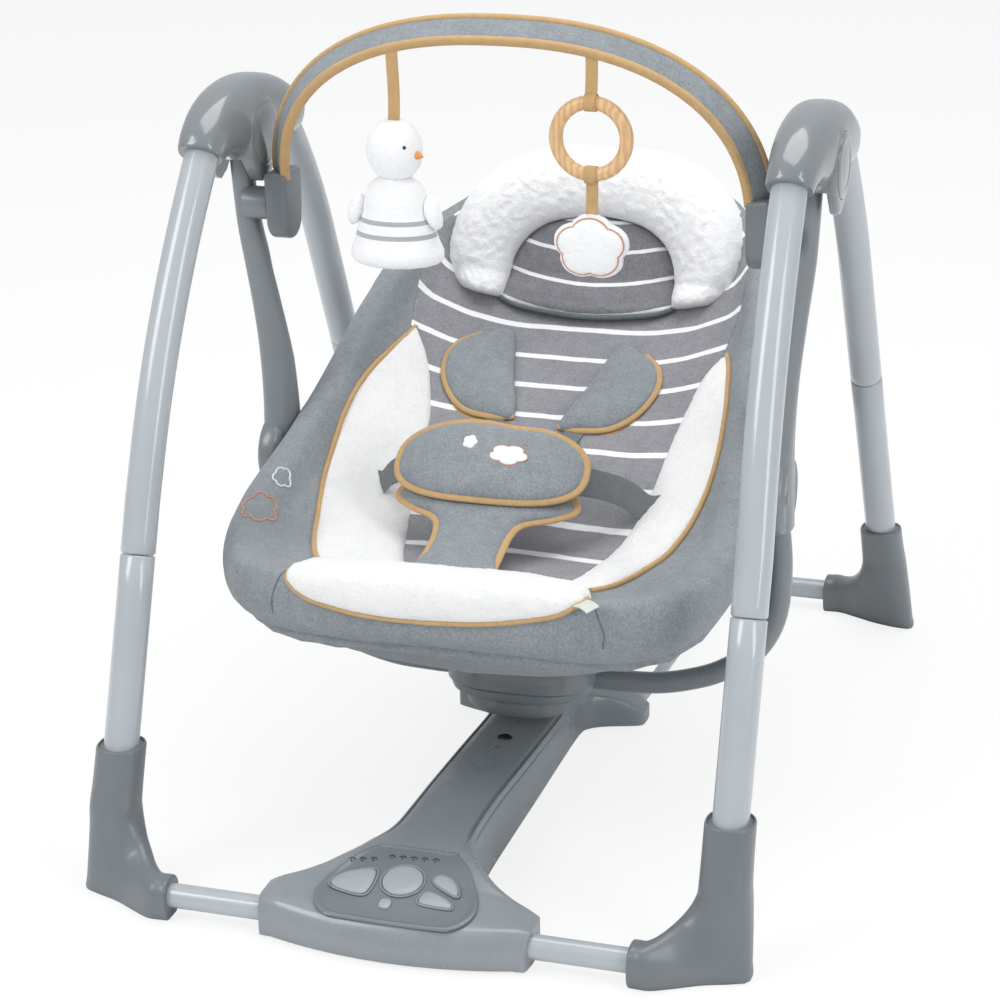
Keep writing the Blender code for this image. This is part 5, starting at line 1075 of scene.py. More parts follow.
BOLSTER_LOW = [(0.1695, -0.015), (0.1655, -0.057), (0.156, -0.098), (0.142, -0.145), (0.127, -0.183),
               (0.113, -0.208)]
RIGHT_OUT = [(0.15, 0.112), (0.156, 0.095), (0.162, 0.065), (0.1675, 0.03)] + BOLSTER_LOW
LEFT_OUT = [(0.142, 0.124), (0.154, 0.09), (0.1625, 0.06), (0.1675, 0.025)] + BOLSTER_LOW
RIGHT_IN = [(0.1495, 0.111), (0.134, 0.098), (0.1265, 0.072), (0.12, 0.039), (0.1154, 0.0003),
            (0.112, -0.045), (0.106, -0.1027), (0.0988, -0.1439), (0.093, -0.175), (0.089, -0.2)]
LEFT_IN = [(0.1414, 0.123), (0.1216, 0.0977), (0.1046, 0.0539), (0.0977, 0.013), (0.0872, -0.0469),
           (0.0705, -0.1144), (0.06, -0.15), (0.052, -0.1762), (0.05, -0.2)]


def stripe_run(line):
    """How far along the stripes each spot of the seat's middle line is; they draw together at the front."""
    run = [0.0]
    for a, b in zip(line, line[1:]):
        run.append(run[-1] + (b - a).length * (0.66 + 0.34 * clamp((b.y + 0.04) / 0.07)))
    zero = next(r for r, p in zip(run, line) if p.y >= 0.0869)
    return [r - zero for r in run]


def mark_run(obj, spots, runs):
    """Writes the run of the nearest spot into each point of a striped piece."""
    finder = KDTree(len(spots))
    for k, p in enumerate(spots):
        finder.insert(p, k)
    finder.balance()
    attribute = obj.data.attributes.new("run", "FLOAT", "POINT")
    for vert, cell in zip(obj.data.vertices, attribute.data):
        cell.value = runs[finder.find(vert.co)[1]]


def make_lining():
    """The striped cloth down the middle of the seat."""
    rows, cols = 150, 50
    line = spline([(0, y, z) for y, z in FLOOR_LINE if y >= -0.2001], rows)
    run = stripe_run(line)
    top, low, runs = [], [], []
    for i, p in enumerate(line):
        if p.y > LINING_END:
            break
        half = eased(LINING_WIDTHS, p.y)
        top_row, low_row = [], []
        for j in range(cols + 1):
            share = 2 * j / cols - 1
            point, normal = on_seat(half * share, p.y)
            edge = min(1.0, (1 - abs(share)) * 9)
            pucker = 0.0007 * noise.noise(point * 60)
            pucker += 0.0012 * noise.noise(Vector((point.x * 9, point.y * 30, 0)))
            top_row.append(point + normal * (0.0014 * edge + pucker * edge + 0.0006))
            low_row.append(point - normal * 0.001)
            runs.append(run[i] + 0.0115 * (half * share / 0.12) ** 2)
        top.append(top_row)
        low.append(low_row)
    top = smooth_points(top)
    lining = grid_pad(top, low, "striped_lining", STRIPES)
    mark_run(lining, [p for row in top for p in row], runs)
    bend_at_hinge(lining)


def make_bolsters():
    """The white side bolsters and their piping."""
    rows, cols = 120, 22
    for (side, tag), outer, inner in zip(SIDES, (RIGHT_OUT, LEFT_OUT), (RIGHT_IN, LEFT_IN)):
        outer = [(side * x, y) for x, y in outer]
        inner = [(side * x, y) for x, y in inner]
        spots = []
        for a, b in zip(flat_spline(outer, rows), flat_spline(inner, rows)):
            flat = [a.lerp(b, j / cols) for j in range(cols + 1)]
            spots.append([on_seat(p.x, p.y) for p in flat])
        bolster = crowned_pad("side_bolster_" + tag, spots, 0.0085, PLUSH, 2.2, 8.0, 0.001)
        bend_at_hinge(bolster)
        edge = [on_seat(p.x, p.y, 0.0014)[0] for p in flat_spline(outer, 110)]
        piping = tube("bolster_piping_" + tag, edge, 0.0023, TAPE, None, 12)
        bend_at_hinge(piping)


def make_foot_pad():
    """The white pad over the front of the rim, a little higher on its right."""
    low = both_ways([(-0.1215, -0.244, 0.253), (-0.1185, -0.256, 0.249), (-0.1, -0.2635, 0.24),
                     (-0.065, -0.2688, 0.235), (-0.023, -0.2713, 0.232)])
    crest = both_ways([(-0.1217, -0.241, 0.254), (-0.115, -0.248, 0.256), (-0.098, -0.254, 0.259),
                       (-0.064, -0.261, 0.263), (-0.023, -0.264, 0.266)])
    top = [(-0.1215, -0.236, 0.253), (-0.112, -0.22, 0.25), (-0.09, -0.206, 0.246),
           (-0.06, -0.196, 0.243), (-0.02, -0.19, 0.242), (0.02, -0.186, 0.241),
           (0.06, -0.185, 0.241), (0.09, -0.192, 0.244), (0.112, -0.212, 0.249),
           (0.1215, -0.232, 0.252)]
    low, crest, top = ([(x, y, z + 0.0035 + 0.035 * x) for x, y, z in row] for row in (low, crest, top))
    lines = [spline(row, 100) for row in (low, crest, top)]
    spots = [[on_skin(p) for p in spline(across, 36)] for across in zip(*lines)]
    foot = dress(crowned_pad("foot_pad", spots, 0.01, PLUSH, 2.8, 9.0, 0.0012), "swing")
    edge = [on_skin(p, 0.0012)[0] for p in spline(low, 90)]
    tube("foot_piping", edge, 0.0024, TAPE, "swing", 12, "tan_webbing")


make_lining()
make_bolsters()
make_foot_pad()


# Headrest

def head_place(u, v, w):
    """Across, up and out from the headrest's own curved plane."""
    lean = math.radians(20.0)
    y = 0.262 + v * math.sin(lean) - w * math.cos(lean) - 0.6 * u * u
    z = 0.423 + v * math.cos(lean) + w * math.sin(lean)
    return Vector((u, y, z))


def over_top(half, top):
    """A left half, the spot at the top and the mirrored right half."""
    return half + [(0.0, top)] + [(-x, y) for x, y in reversed(half)]


HEAD_OUTER = over_top([(-0.096, -0.082), (-0.126, -0.074), (-0.143, -0.046), (-0.137, -0.006), (-0.118, 0.026),
                       (-0.087, 0.05), (-0.046, 0.062)], 0.064)
HEAD_INNER = over_top([(-0.08, -0.084), (-0.079, -0.074), (-0.078, -0.058), (-0.074, -0.04), (-0.064, -0.024),
                       (-0.046, -0.012), (-0.024, -0.006)], -0.004)
PILLOW_EDGE = [(0.081, -0.083), (0.079, -0.06), (0.074, -0.041), (0.062, -0.024), (0.042, -0.011), (0.0, -0.004),
               (-0.042, -0.011), (-0.062, -0.024), (-0.074, -0.041), (-0.079, -0.06), (-0.081, -0.083),
               (-0.058, -0.091), (-0.03, -0.095), (0.0, -0.097), (0.03, -0.095), (0.058, -0.091)]
PILLOW_BED = 0.6


def head_bed(v):
    """How far the back's lining stands forward of the headrest's own plane."""
    return max(0.0, -0.06 - v) * 1.05


def make_arch():
    """The plush arch: a fat roll round the head with square, shaggy ends."""
    rows, cols = 150, 34
    outer, inner = flat_spline(HEAD_OUTER, rows), flat_spline(HEAD_INNER, rows)
    top, low = [], []
    for i in range(rows + 1):
        t = i / rows
        end = (1 - abs(2 * t - 1) ** 14) ** 0.5
        top_row, low_row = [], []
        for j in range(cols + 1):
            s = j / cols
            p = outer[i].lerp(inner[i], s)
            if s < 0.55:
                rise = 0.05 * max(0.0, 1 - (1 - s / 0.55) ** 2.3) ** 0.55
            else:
                rise = 0.03 + 0.02 * max(0.0, 1 - ((s - 0.55) / 0.45) ** 2.2) ** 0.5
            rise = rise * (0.35 + 0.65 * end) * (1 if s > 0 else 0)
            spot = Vector((p.x, p.y, 0)) / 0.0065
            tuft = noise.noise(spot) + 0.7 * noise.noise(spot * 2.2) + 0.4 * noise.noise(spot * 4.7)
            w = rise + head_bed(p.y) * 0.75 + 0.0016 * tuft * min(1.0, rise / 0.008)
            shag = 0.0022 * noise.noise(Vector((p.x * 420, p.y * 420, 1.0))) * max(0.0, 1 - s * 6)
            top_row.append(head_place(p.x + shag, p.y + shag, w))
            low_row.append(head_place(p.x, p.y, min(w - 0.001, head_bed(p.y) - 0.004)))
        top.append(top_row)
        low.append(low_row)
    arch = grid_pad(top, low, "headrest_arch", ARCH_PLUSH, "backrest", 80.0)
    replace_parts(arch, "headrest")


def make_pillow():
    """The striped pillow inside the arch, with a seam across its lower part."""
    outline = closed_curve(PILLOW_EDGE, 10)
    centre = Vector((0.0, -0.052))
    rings, runs = [], []
    for f in [1.0, 1.0, 0.985, 0.96, 0.93, 0.89, 0.84, 0.78, 0.7, 0.6, 0.5, 0.38, 0.25, 0.12]:
        ring = []
        for p in outline:
            q = centre + (Vector((p[0], p[1])) - centre) * f
            rise = 0.013 * max(0.0, 1 - f ** 4) ** 0.5
            base = 0.024 + head_bed(q.y) * PILLOW_BED
            seam = -0.0018 * math.exp(-((q.y + 0.086 - 0.1 * abs(q.x)) / 0.0022) ** 2)
            w = (0.006 if not rings else base) + rise + seam * (1 - f ** 8)
            w += 0.001 * noise.noise(Vector((q.x * 40, q.y * 40, 3.0))) * (1 - f)
            ring.append(head_place(q.x, q.y, w))
            runs.append(q.y + 0.0235 - 2.3 * q.x * q.x)
        rings.append(ring)
    pillow = add_mesh("headrest_pillow", skin(rings), PILLOW, "backrest", 80.0)
    attribute = pillow.data.attributes.new("run", "FLOAT", "POINT")
    for cell, value in zip(attribute.data, runs):
        cell.value = value
    band = [head_place(p.x, p.y, 0.026 + head_bed(p.y) * PILLOW_BED) for p in flat_spline(
        [(-0.081, -0.084), (-0.058, -0.092), (0, -0.098), (0.058, -0.092), (0.081, -0.084)], 40)]
    tube("pillow_piping", band, 0.0022, HEATHER_DARK, "backrest", 10, "heather_fabric")


make_arch()
make_pillow()


# Harness pads and webbing

CROTCH_RUN = 0.115


def crotch_place(u, v, w):
    """Across, up and out from the crotch pad, which bends up towards the waist."""
    low, high = math.radians(4.0), math.radians(40.0)
    radius = CROTCH_RUN / (high - low)
    a = low + (high - low) * v / CROTCH_RUN
    lift = w - 1.6 * u * u * min(1.0, v / 0.085)
    return Vector((u - 0.002, -0.207 + radius * (math.sin(a) - math.sin(low)) - lift * math.sin(a),
                   0.248 + radius * (math.cos(low) - math.cos(a)) + lift * math.cos(a)))


def soft_pad(node, outline, crown, place, under, body, wrinkle):
    """A crowned pad of the harness with fine puckers towards its bound edge, standing for its CAD node."""
    n = len(outline)
    cx = sum(p[0] for p in outline) / n
    cy = sum(p[1] for p in outline) / n

    def ring(f, side):
        rise = crown * max(0.0, 1.0 - f ** 3.2) ** 0.5
        row = []
        for x, y in outline:
            u, v = cx + f * (x - cx), cy + f * (y - cy)
            pucker = wrinkle * (0.6 * noise.noise(Vector((u * 75, v * 75, side)))
                                + 1.5 * noise.noise(Vector(((u - 0.7 * v) * 45, (v + 0.3 * u) * 14, 5))))
            row.append(Vector(place(u, v, side * rise + pucker * (1 - f ** 6) * (1.0 if side > 0 else 0.0))))
        return row

    levels = (1.0, 0.98, 0.95, 0.9, 0.84, 0.76, 0.66, 0.54, 0.4, 0.24, 0.08)
    rings = [ring(f, -under) for f in reversed(levels)] + [ring(f, 1.0) for f in levels[1:]]
    pad = add_mesh(node + "_look", skin(rings), HEATHER, body, 80.0)
    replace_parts(pad, node)


def binding(name, path, closed, body, normal_at, radius=0.0041):
    return tube(name, path, radius, TAPE, body, 14, "tan_webbing", closed=closed, flat=0.5,
                normal_at=normal_at)


def lobed(size, lobes, turn=0.0, stretch=1.0, count=96):
    """A soft round outline of several lobes."""
    outline = []
    for k in range(count):
        a = 2 * math.pi * k / count
        r = size * (0.76 + 0.24 * abs(math.cos(lobes * a / 2 + turn)) ** 0.7)
        outline.append((r * math.cos(a) * stretch, r * math.sin(a)))
    return outline


def badge(name, spot, outline):
    """A small stuffed badge sewn on the waist pad; gives its edge for the stitching."""
    depth = 0.0014
    rings = []
    for f, up in ((1.0, -0.001), (1.0, depth * 0.5), (0.94, depth), (0.5, depth * 1.3), (0.1, depth * 1.35)):
        rings.append([spot(x * f, y * f, up) for x, y in outline])
    add_mesh(name, skin(rings), SHORT_PLUSH, "swing", 60.0)
    return [spot(x, y, depth * 0.5) for x, y in outline]


def waist_place(u, v, w):
    """Across, up and out from the waist pad, which leans back and curls down at its sides."""
    pitch = math.radians(40.0)
    v -= 0.0035 * math.exp(-((u - 0.016) / 0.02) ** 2) * max(0.0, v / 0.036)
    out = w - 1.6 * u * u
    return (Vector((-0.0025, -0.1, 0.306)) + Vector((u, 0, 0))
            + Vector((0, math.cos(pitch), math.sin(pitch))) * v
            + Vector((0, -math.sin(pitch), math.cos(pitch))) * out)


def make_waist_pad():
    outline = super_outline(0.0801, 0.0358, 0.0, 2.5, 96)
    soft_pad("waist_pad", outline, 0.01, waist_place, 0.4, "swing", 0.0012)
    normal = (waist_place(0, 0, 1) - waist_place(0, 0, 0)).normalized()
    binding("waist_binding", [waist_place(x, y, 0.0) for x, y in outline], True, "swing", lambda p: normal)
    edge = badge("waist_badge", lambda x, y, w: waist_place(x + 0.018, y + 0.003, w + 0.0093),
                 lobed(0.01, 5, 0.5, 1.65))
    tube("waist_badge_stitch", edge, 0.0006, CORAL, "swing", 8, "tan_webbing", closed=True)
    badge("waist_badge_small", lambda x, y, w: waist_place(x - 0.017, y + 0.012, w + 0.009), lobed(0.0066, 5))


def make_crotch_pad():
    half = [(0.031, 0.0), (0.0295, 0.03), (0.03, 0.058), (0.037, 0.0745), (0.06, 0.0865),
            (0.076, 0.0985), (0.07, 0.111), (0.05, CROTCH_RUN)]
    soft_pad("crotch_pad", closed_curve(both_ways(half), 8), 0.006, crotch_place, 0.3, "swing", 0.0008)
    for side, tag in SIDES:
        path = [crotch_place(side * p.x, p.y, 0.0) for p in flat_spline(half[:-1], 60)]
        binding("crotch_binding_" + tag, path, False, "swing", lambda p: Vector((0, -0.35, 0.94)))


def make_shoulder_side(side, tag, centre):
    """A shoulder pad with its bindings, the lap belt under it and the belt up to it."""
    turn = math.radians(-14 * side)
    pitch = math.radians(24.0)
    out = Vector((0, -math.sin(pitch), math.cos(pitch)))

    def shoulder(u, v, w):
        x = centre[0] + u * math.cos(turn) - v * math.sin(turn)
        y = centre[1] + (u * math.sin(turn) + v * math.cos(turn)) * math.cos(pitch)
        return Vector((x, y, on_seat(x, y)[0].z)) + out * (0.0045 + w)

    shape = [(-0.028, 0.056), (0.0, 0.05), (0.02, 0.034), (0.0315, 0.01), (0.03, -0.018),
             (0.015, -0.043), (-0.01, -0.054), (-0.031, -0.056), (-0.03, 0.0)]
    edge = [(side * x, y) for x, y in closed_curve(shape, 12)]
    soft_pad("shoulder_pad_" + tag, edge, 0.0095, shoulder, 0.3, "backrest", 0.0009)
    for name, first, count, drop, sink, radius in (("shoulder_binding_", 1, 70, 0.0, 0.0, 0.0041),
                                                   ("shoulder_binding_low_", 4, 40, 0.005, 0.0035, 0.0032)):
        path = flat_spline([(side * x, y) for x, y in shape[first:8]], count)
        binding(name + tag, [shoulder(p.x, p.y - drop, -sink) for p in path], False, "backrest",
                lambda p: Vector((0, -0.4, 0.92)), radius)
    belt = spline([(side * 0.056, -0.093, 0.293), (side * 0.08, -0.077, 0.286),
                   (side * 0.102, -0.059, 0.273), on_seat(side * 0.12, -0.044, 0.007)[0],
                   on_seat(side * 0.132, -0.034, -0.004)[0]], 30)
    tube("lap_belt_" + tag, belt, 0.0122, DARK_WEB, "swing", 20, "dark_plastic", flat=0.07,
         normal_at=lambda p: Vector((side * 0.63, -0.6, 0.42)))
    riser = spline([shoulder(side * -0.01, -0.035, 0.001), shoulder(side * -0.014, -0.07, 0.001),
                    (side * 0.033, -0.01, 0.283), (side * 0.03, -0.065, 0.308)], 24)
    tube("shoulder_belt_" + tag, riser, 0.009, DARK_WEB, "swing", 14, "dark_plastic", flat=0.09,
         normal_at=lambda p: Vector((0, -0.45, 0.89)))


make_waist_pad()
make_crotch_pad()
for (pad_side, pad_tag), pad_centre in zip(SIDES, ((0.056, 0.099), (-0.074, 0.106))):
    make_shoulder_side(pad_side, pad_tag, pad_centre)


def make_seat_details():
    """Sewn outlines, joining seams and a plain tag on the seat's rim."""
    for name, cx, cy, size, lobes, look in (("rim_outline_large", -0.193, -0.138, 0.0165, 6, CORAL),
                                            ("rim_outline_small", -0.19, -0.093, 0.0085, 5, STITCH)):
        outline = [on_seat(cx + 0.85 * x, cy + 1.2 * y, 0.0004)[0] for x, y in lobed(size, lobes, 0.3)]
        tube(name, outline, 0.0008, look, "swing", 8, "tan_webbing", closed=True)
    for side, tag in SIDES:
        line = spline([(side * 0.1225, -0.244, 0.257), (side * 0.133, -0.258, 0.25),
                       (side * 0.143, -0.272, 0.235), (side * 0.145, -0.276, 0.212)], 30)
        seam = [on_skin(p)[0] for p in line]
        tube("rim_seam_" + tag, seam, 0.0007, HEATHER_DARK, "swing", 8, "heather_fabric")
    spot = on_skin((0.118, -0.256, 0.257), 0.002)[0]
    rings = []
    for k in range(9):
        t = k / 8
        at = spot + Vector((0.0135 * t, -0.0105 * t, 0.0015 * math.sin(3 * t)))
        rings.append([at + Vector((0.0035 * x, 0.0052 * x, 0.001 * x + 0.0004 * y))
                      for x, y in ((1, 1), (-1, 1), (-1, -1), (1, -1))])
    add_mesh("plain_tag", skin(rings), LABEL, "swing", 40.0)


make_seat_details()
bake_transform(SHELL)
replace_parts(SHELL, "seat_pad", "back_pad")


# Toy bar and toys

BOW_HALF, BOW_RISE, BOW_FOOT, BOW_POWER = 0.205, 0.15, 0.505, 2.35
BOW_LEAN = 0.04


def bow_point(t):
    """The spot at share t of the toy bar's bow, which leans forward towards its top."""
    a = math.pi * t
    c, s = math.cos(a), math.sin(a)
    rise = BOW_RISE * max(0.0, s) ** (2 / BOW_POWER)
    across = BOW_HALF * math.copysign(abs(c) ** (2 / BOW_POWER), c)
    return Vector((across, BOW_Y - BOW_LEAN * rise / BOW_RISE, BOW_FOOT + rise))


def bow_height(x):
    return BOW_FOOT + BOW_RISE * (1.0 - abs(x / BOW_HALF) ** BOW_POWER) ** (1.0 / BOW_POWER)


def bow_frames(steps):
    """Spots along the bow, each with the ways across and through its flat cover."""
    points = spline([bow_point(i / 240) for i in range(241)][::6], steps)
    tilt = math.radians(53.0)
    frames = []
    for i in range(len(points)):
        along = (points[min(steps, i + 1)] - points[max(0, i - 1)]).normalized()
        back = Vector((0, 1, 0))
        back = (back - along * back.dot(along)).normalized()
        radial = back.cross(along)
        if (radial.z < 0 and abs(along.x) > 0.3) or (abs(along.x) <= 0.3 and radial.x * points[i].x < 0):
            radial = -radial
        wide = radial * math.cos(tilt) + back * math.sin(tilt)
        frames.append((points[i], wide, along.cross(wide).normalized()))
    return frames


def make_toy_bar():
    frames = [f for f in bow_frames(160) if f[0].z > 0.519]
    half_w, half_t = 0.013, 0.003
    rings, edges = [], ([], [])
    for point, wide, thick in frames:
        ring = []
        for x, y in super_outline(half_w, half_t, 0.0, 3.2, 28):
            ripple = 0.00025 * noise.noise(point * 180 + Vector((x * 300, 0, 0)))
            ring.append(point + wide * x + thick * (y + ripple))
        rings.append(ring)
        edges[0].append(point + wide * (half_w - 0.0012))
        edges[1].append(point - wide * (half_w - 0.0012))
    band = add_mesh("toy_bar_cover", skin(rings), HEATHER, "toy_bar", 80.0)
    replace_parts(band, "toy_bar")
    for k, tag in ((0, "top"), (1, "low")):
        rows = []
        for (point, wide, thick), spot in zip(frames, edges[k]):
            rows.append([spot + wide * (0.003 * x) + thick * (0.0042 * y)
                         for x, y in super_outline(1, 1, 0, 2.6, 16)])
        add_mesh("toy_bar_binding_" + tag, skin(rows), TAPE, "toy_bar", 60.0)

    def socket(name):
        top = BOW_Z + 0.03
        outline = [(BOW_Y - 0.02, top), (BOW_Y - 0.019, BOW_Z - 0.004)]
        outline += arc((BOW_Y, BOW_Z - 0.011), 0.018, 190, 350, 36)
        outline += [(BOW_Y + 0.019, BOW_Z - 0.004), (BOW_Y + 0.02, top)]
        block = add_mesh(name, plate(outline, 0.02, yz_place(0.2055)), DARK)
        return smoothed(bevel(block, 0.0042, 4, 40.0))

    both_sides(socket, "toy_bar_end", "toy_bar")


def ribbon(name, points, body, thick):
    """A flat tape through the points, its width along x."""
    rings = []
    across = Vector((1, 0, 0))
    for i, p in enumerate(points):
        along = (points[min(len(points) - 1, i + 1)] - points[max(0, i - 1)]).normalized()
        out = along.cross(across).normalized()
        rings.append([p + across * (STRAP_W / 2 * x) + out * (thick / 2 * y)
                      for x, y in super_outline(1, 1, 0, 6, 20)])
    return add_mesh(name, skin(rings), TAPE, body, 50.0)


def toy_strap(node, x, low, high, body):
    """The tape a toy hangs by, a little wavy."""
    heights = [low + (high - low) * k / 24 for k in range(25)]
    points = [Vector((x + 0.0006 * math.sin((z - low) * 60), TOY_Y + 0.0005 * math.sin((z - low) * 90), z))
              for z in heights]
    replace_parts(ribbon(node + "_look", points, body, 0.0022), node)


def turned(profile, x, deep):
    """Rings of (radius, height) pairs about an upright line, squeezed in depth."""
    return [[Vector((x + r * c, TOY_Y + deep * r * s, z)) for c, s in unit_circle(56)] for r, z in profile]


def stuffed(node, rings, body, amount):
    """A stuffed piece of a toy with a short pile, standing for its CAD node."""
    obj = add_mesh(node + "_look", skin(rings), SHORT_PLUSH, body, 80.0)
    fluff(obj, amount, 0.004)
    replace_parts(obj, node)
    return obj


def paint_bands(obj, look, test):
    """A second material on the faces whose middles pass the test."""
    obj.data.materials.append(look)
    for face in obj.data.polygons:
        if test(face.center):
            face.material_index = 1


def make_bird():
    profile = [(r, 0, z) for r, z in ((0.004, 0.5335), (0.015, 0.532), (0.0225, 0.526), (0.0265, 0.516),
                                      (0.0285, 0.505), (0.03, 0.4995), (0.033, 0.49), (0.036, 0.48),
                                      (0.0392, 0.472), (0.038, 0.465), (0.03, 0.4615), (0.005, 0.4607))]
    line = [(p.x, p.z) for p in spline(profile, 60)]
    body = stuffed("bird_body", turned(line, BIRD_X, 0.72), "bird", 0.0005)
    paint_bands(body, GREY_PLUSH, lambda c: 0.496 < c.z < 0.5 or 0.4855 < c.z < 0.4895)
    head_line = []
    for k in range(33):
        a = math.pi * (0.1 + 0.84 * k / 32)
        head_line.append((0.0235 * math.sin(a) ** 0.9, 0.5555 + 0.0255 * math.cos(a)))
    stuffed("bird_head", turned(head_line, BIRD_X, 0.81), "bird", 0.0004)
    beak = ((-0.004, 0.0042), (0.0, 0.004), (0.0035, 0.0028), (0.007, 0.0008))
    disc("bird_beak", (BIRD_X + 0.0205, TOY_Y - 0.006, 0.5535), (0.9, -0.35, -0.1), beak, BEAK, "bird", 24)
    disc("bird_eye", (BIRD_X + 0.0135, TOY_Y - 0.0148, 0.561), (0.45, -0.88, 0.1),
         ((-0.001, 0.0016), (0.0004, 0.0015), (0.0009, 0.0008)), EYES, "bird", 20)
    wing_line = [(0.0003, 0, 1.0), (0.4, 0, 0.9), (0.75, 0, 0.55), (0.95, 0, 0.1), (0.9, 0, -0.45),
                 (0.55, 0, -0.85), (0.0003, 0, -1.0)]
    for side, tag in SIDES:
        rings = []
        for p in spline(wing_line, 24):
            rings.append([Vector((BIRD_X + side * 0.027 + side * (0.006 + 0.008 * p.x * c),
                                  TOY_Y - 0.004 + 0.0085 * p.x * s, 0.506 + 0.0125 * p.z - 0.006 * p.x * c))
                          for c, s in unit_circle(32)])
        wing = add_mesh("bird_wing_" + tag, skin(rings), SHORT_PLUSH, "bird", 80.0)
        fluff(wing, 0.0003, 0.003)
    toy_strap("bird_strap", BIRD_X, 0.577, bow_height(BIRD_X) - 0.004, "bird")


def make_ring():
    points = [Vector((RING_X + RING_R * c, TOY_Y, RING_Z + RING_R * s)) for c, s in unit_circle(96)]
    hoop = tube("wooden_ring_look", points, RING_WIRE, BEECH, "ring", 28, "beech_wood", closed=True,
                normal_at=lambda p: Vector((0, 1, 0)))
    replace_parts(hoop, "wooden_ring")
    toy_strap("ring_strap", RING_X, RING_Z + RING_R + RING_WIRE - 0.001, bow_height(RING_X) - 0.004, "ring")
    loop_r = 0.0066
    for name, z, body in (("ring_loop", RING_Z + RING_R, "ring"), ("puff_loop", RING_Z - RING_R, "puff")):
        turns = unit_circle(40)
        loop = [Vector((RING_X, TOY_Y + loop_r * c, z + loop_r * s)) for c, s in turns + turns[:1]]
        ribbon(name, loop, body, 0.0014)


def make_puff():
    toy_strap("puff_strap", RING_X, PUFF_Z + PUFF_R * 0.9, RING_Z - RING_R - RING_WIRE, "puff")
    outline = []
    for k in range(150):
        a = 2 * math.pi * k / 150 + math.pi / 2
        r = PUFF_R * (0.9 + 0.16 * abs(math.cos(2.5 * (a - math.pi / 2))) ** 0.8)
        outline.append((1.14 * r * math.cos(a), 0.98 * r * math.sin(a)))
    stitch_at = 0.88

    def ring(f, side):
        rise = 0.0088 * max(0.0, 1 - f ** 3) ** 0.5 - 0.0016 * math.exp(-((f - stitch_at) / 0.014) ** 2)
        return [Vector((RING_X + f * x, TOY_Y - side * rise, PUFF_Z + f * y)) for x, y in outline]

    levels = (1.0, 0.97, 0.93, 0.895, 0.88, 0.865, 0.82, 0.74, 0.62, 0.48, 0.32, 0.15)
    rings = [ring(f, -1) for f in reversed(levels)] + [ring(f, 1) for f in levels[1:]]
    stuffed("cloud_puff", rings, "puff", 0.00035)
    stitch = [Vector((RING_X + stitch_at * x, TOY_Y - 0.0046, PUFF_Z + stitch_at * y)) for x, y in outline]
    tube("puff_stitch", stitch, 0.0006, CORAL, "puff", 8, "tan_webbing", closed=True)


make_toy_bar()
make_bird()
make_ring()
make_puff()


# CAD nodes shown as they are get finished materials

KEPT = {
    "seat_frame": HEATHER, "back_frame": HEATHER, "base_cover": DARK, "battery_door": DARK,
    "circuit_board": BOARD, "drive_coil": COPPER, "drive_magnet": STEEL, "arm_axle_left": STEEL,
    "arm_axle_right": STEEL, "rear_leg_pin_left": STEEL, "rear_leg_pin_right": STEEL,
}
for node_name, look in KEPT.items():
    for material_slot in NODES[node_name].material_slots:
        material_slot.material = look


# Floor, light and camera

def seen_by_camera(owner, plain, seen, output, share=1.0):
    """Shows the camera one shader and gives the light another, or mixes in a share of the first."""
    path = add_node(owner, "ShaderNodeLightPath").outputs["Is Camera Ray"]
    mix = add_node(owner, "ShaderNodeMixShader", {"Fac": math_node(owner, "MULTIPLY", path, share)})
    tree = owner.node_tree
    tree.links.new(plain.outputs[0], mix.inputs[1])
    tree.links.new(seen.outputs[0], mix.inputs[2])
    tree.links.new(mix.outputs[0], tree.nodes[output].inputs["Surface"])


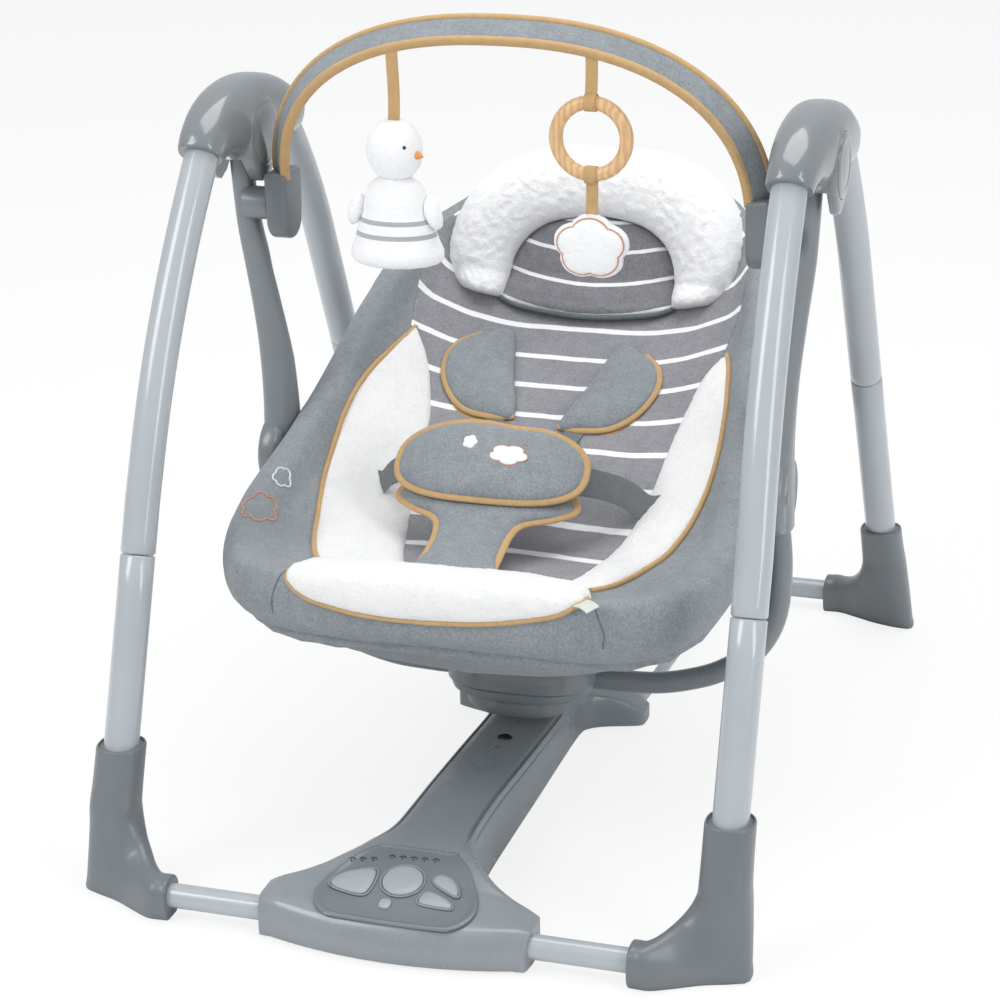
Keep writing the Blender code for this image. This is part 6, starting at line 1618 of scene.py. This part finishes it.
def make_floor():
    bm = bmesh.new()
    bmesh.ops.create_grid(bm, x_segments=1, y_segments=1, size=14.0)
    mat = new_material("pale_floor", (0.9, 0.9, 0.9), 0.9)
    shader = mat.node_tree.nodes["Principled BSDF"]
    shader.inputs["Specular IOR Level"].default_value = 0.1
    seen_by_camera(mat, shader, add_node(mat, "ShaderNodeEmission", Strength=1.0), "Material Output", 0.82)
    mesh = bpy.data.meshes.new("floor")
    bm.to_mesh(mesh)
    bm.free()
    mesh.materials.append(mat)
    add_object("floor", mesh)


def make_light():
    world = bpy.data.worlds.new("studio")
    bpy.context.scene.world = world
    world.use_nodes = True
    ground = world.node_tree.nodes["Background"]
    ground.inputs["Color"].default_value = (0.93, 0.96, 1.0, 1.0)
    ground.inputs["Strength"].default_value = 0.62
    white = add_node(world, "ShaderNodeBackground", Color=(1, 1, 1, 1), Strength=1.0)
    seen_by_camera(world, ground, white, "World Output")
    for name, place, aim, size, power in (
            ("key", (-1.7, -1.9, 2.3), (0, 0, 0.3), (1.2, 1.6), 37.0),
            ("fill", (2.3, -1.3, 1.5), (0, 0, 0.3), (0.7, 1.9), 22.0),
            ("top", (0.2, 0.3, 2.6), (0, 0, 0.2), (1.8, 1.8), 34.0)):
        lamp = bpy.data.lights.new(name, "AREA")
        lamp.shape = "RECTANGLE"
        lamp.size, lamp.size_y = size
        lamp.energy = power
        lamp.color = (1.0, 1.0, 1.0)
        obj = add_object(name, lamp)
        obj.location = place
        obj.rotation_euler = (Vector(aim) - Vector(place)).to_track_quat("-Z", "Y").to_euler()


def make_camera():
    """The camera solved from the photo."""
    yaw, pitch, roll = (math.radians(v) for v in (17.56, 20.68, -1.01))
    forward = Vector((-math.sin(yaw) * math.cos(pitch), math.cos(yaw) * math.cos(pitch), -math.sin(pitch)))
    right = forward.cross(Vector((0, 0, 1))).normalized()
    up = right.cross(forward)
    across = right * math.cos(roll) + up * math.sin(roll)
    upward = -right * math.sin(roll) + up * math.cos(roll)
    data = bpy.data.cameras.new("camera")
    data.sensor_width = 36.0
    data.lens = 95.49
    camera = add_object("camera", data)
    turn = Matrix((across, upward, -forward)).transposed().to_4x4()
    camera.matrix_world = Matrix.Translation((0.625, -2.055, 1.047)) @ turn
    bpy.context.scene.camera = camera


make_floor()
make_light()
make_camera()
bpy.context.scene.view_settings.view_transform = "Standard"
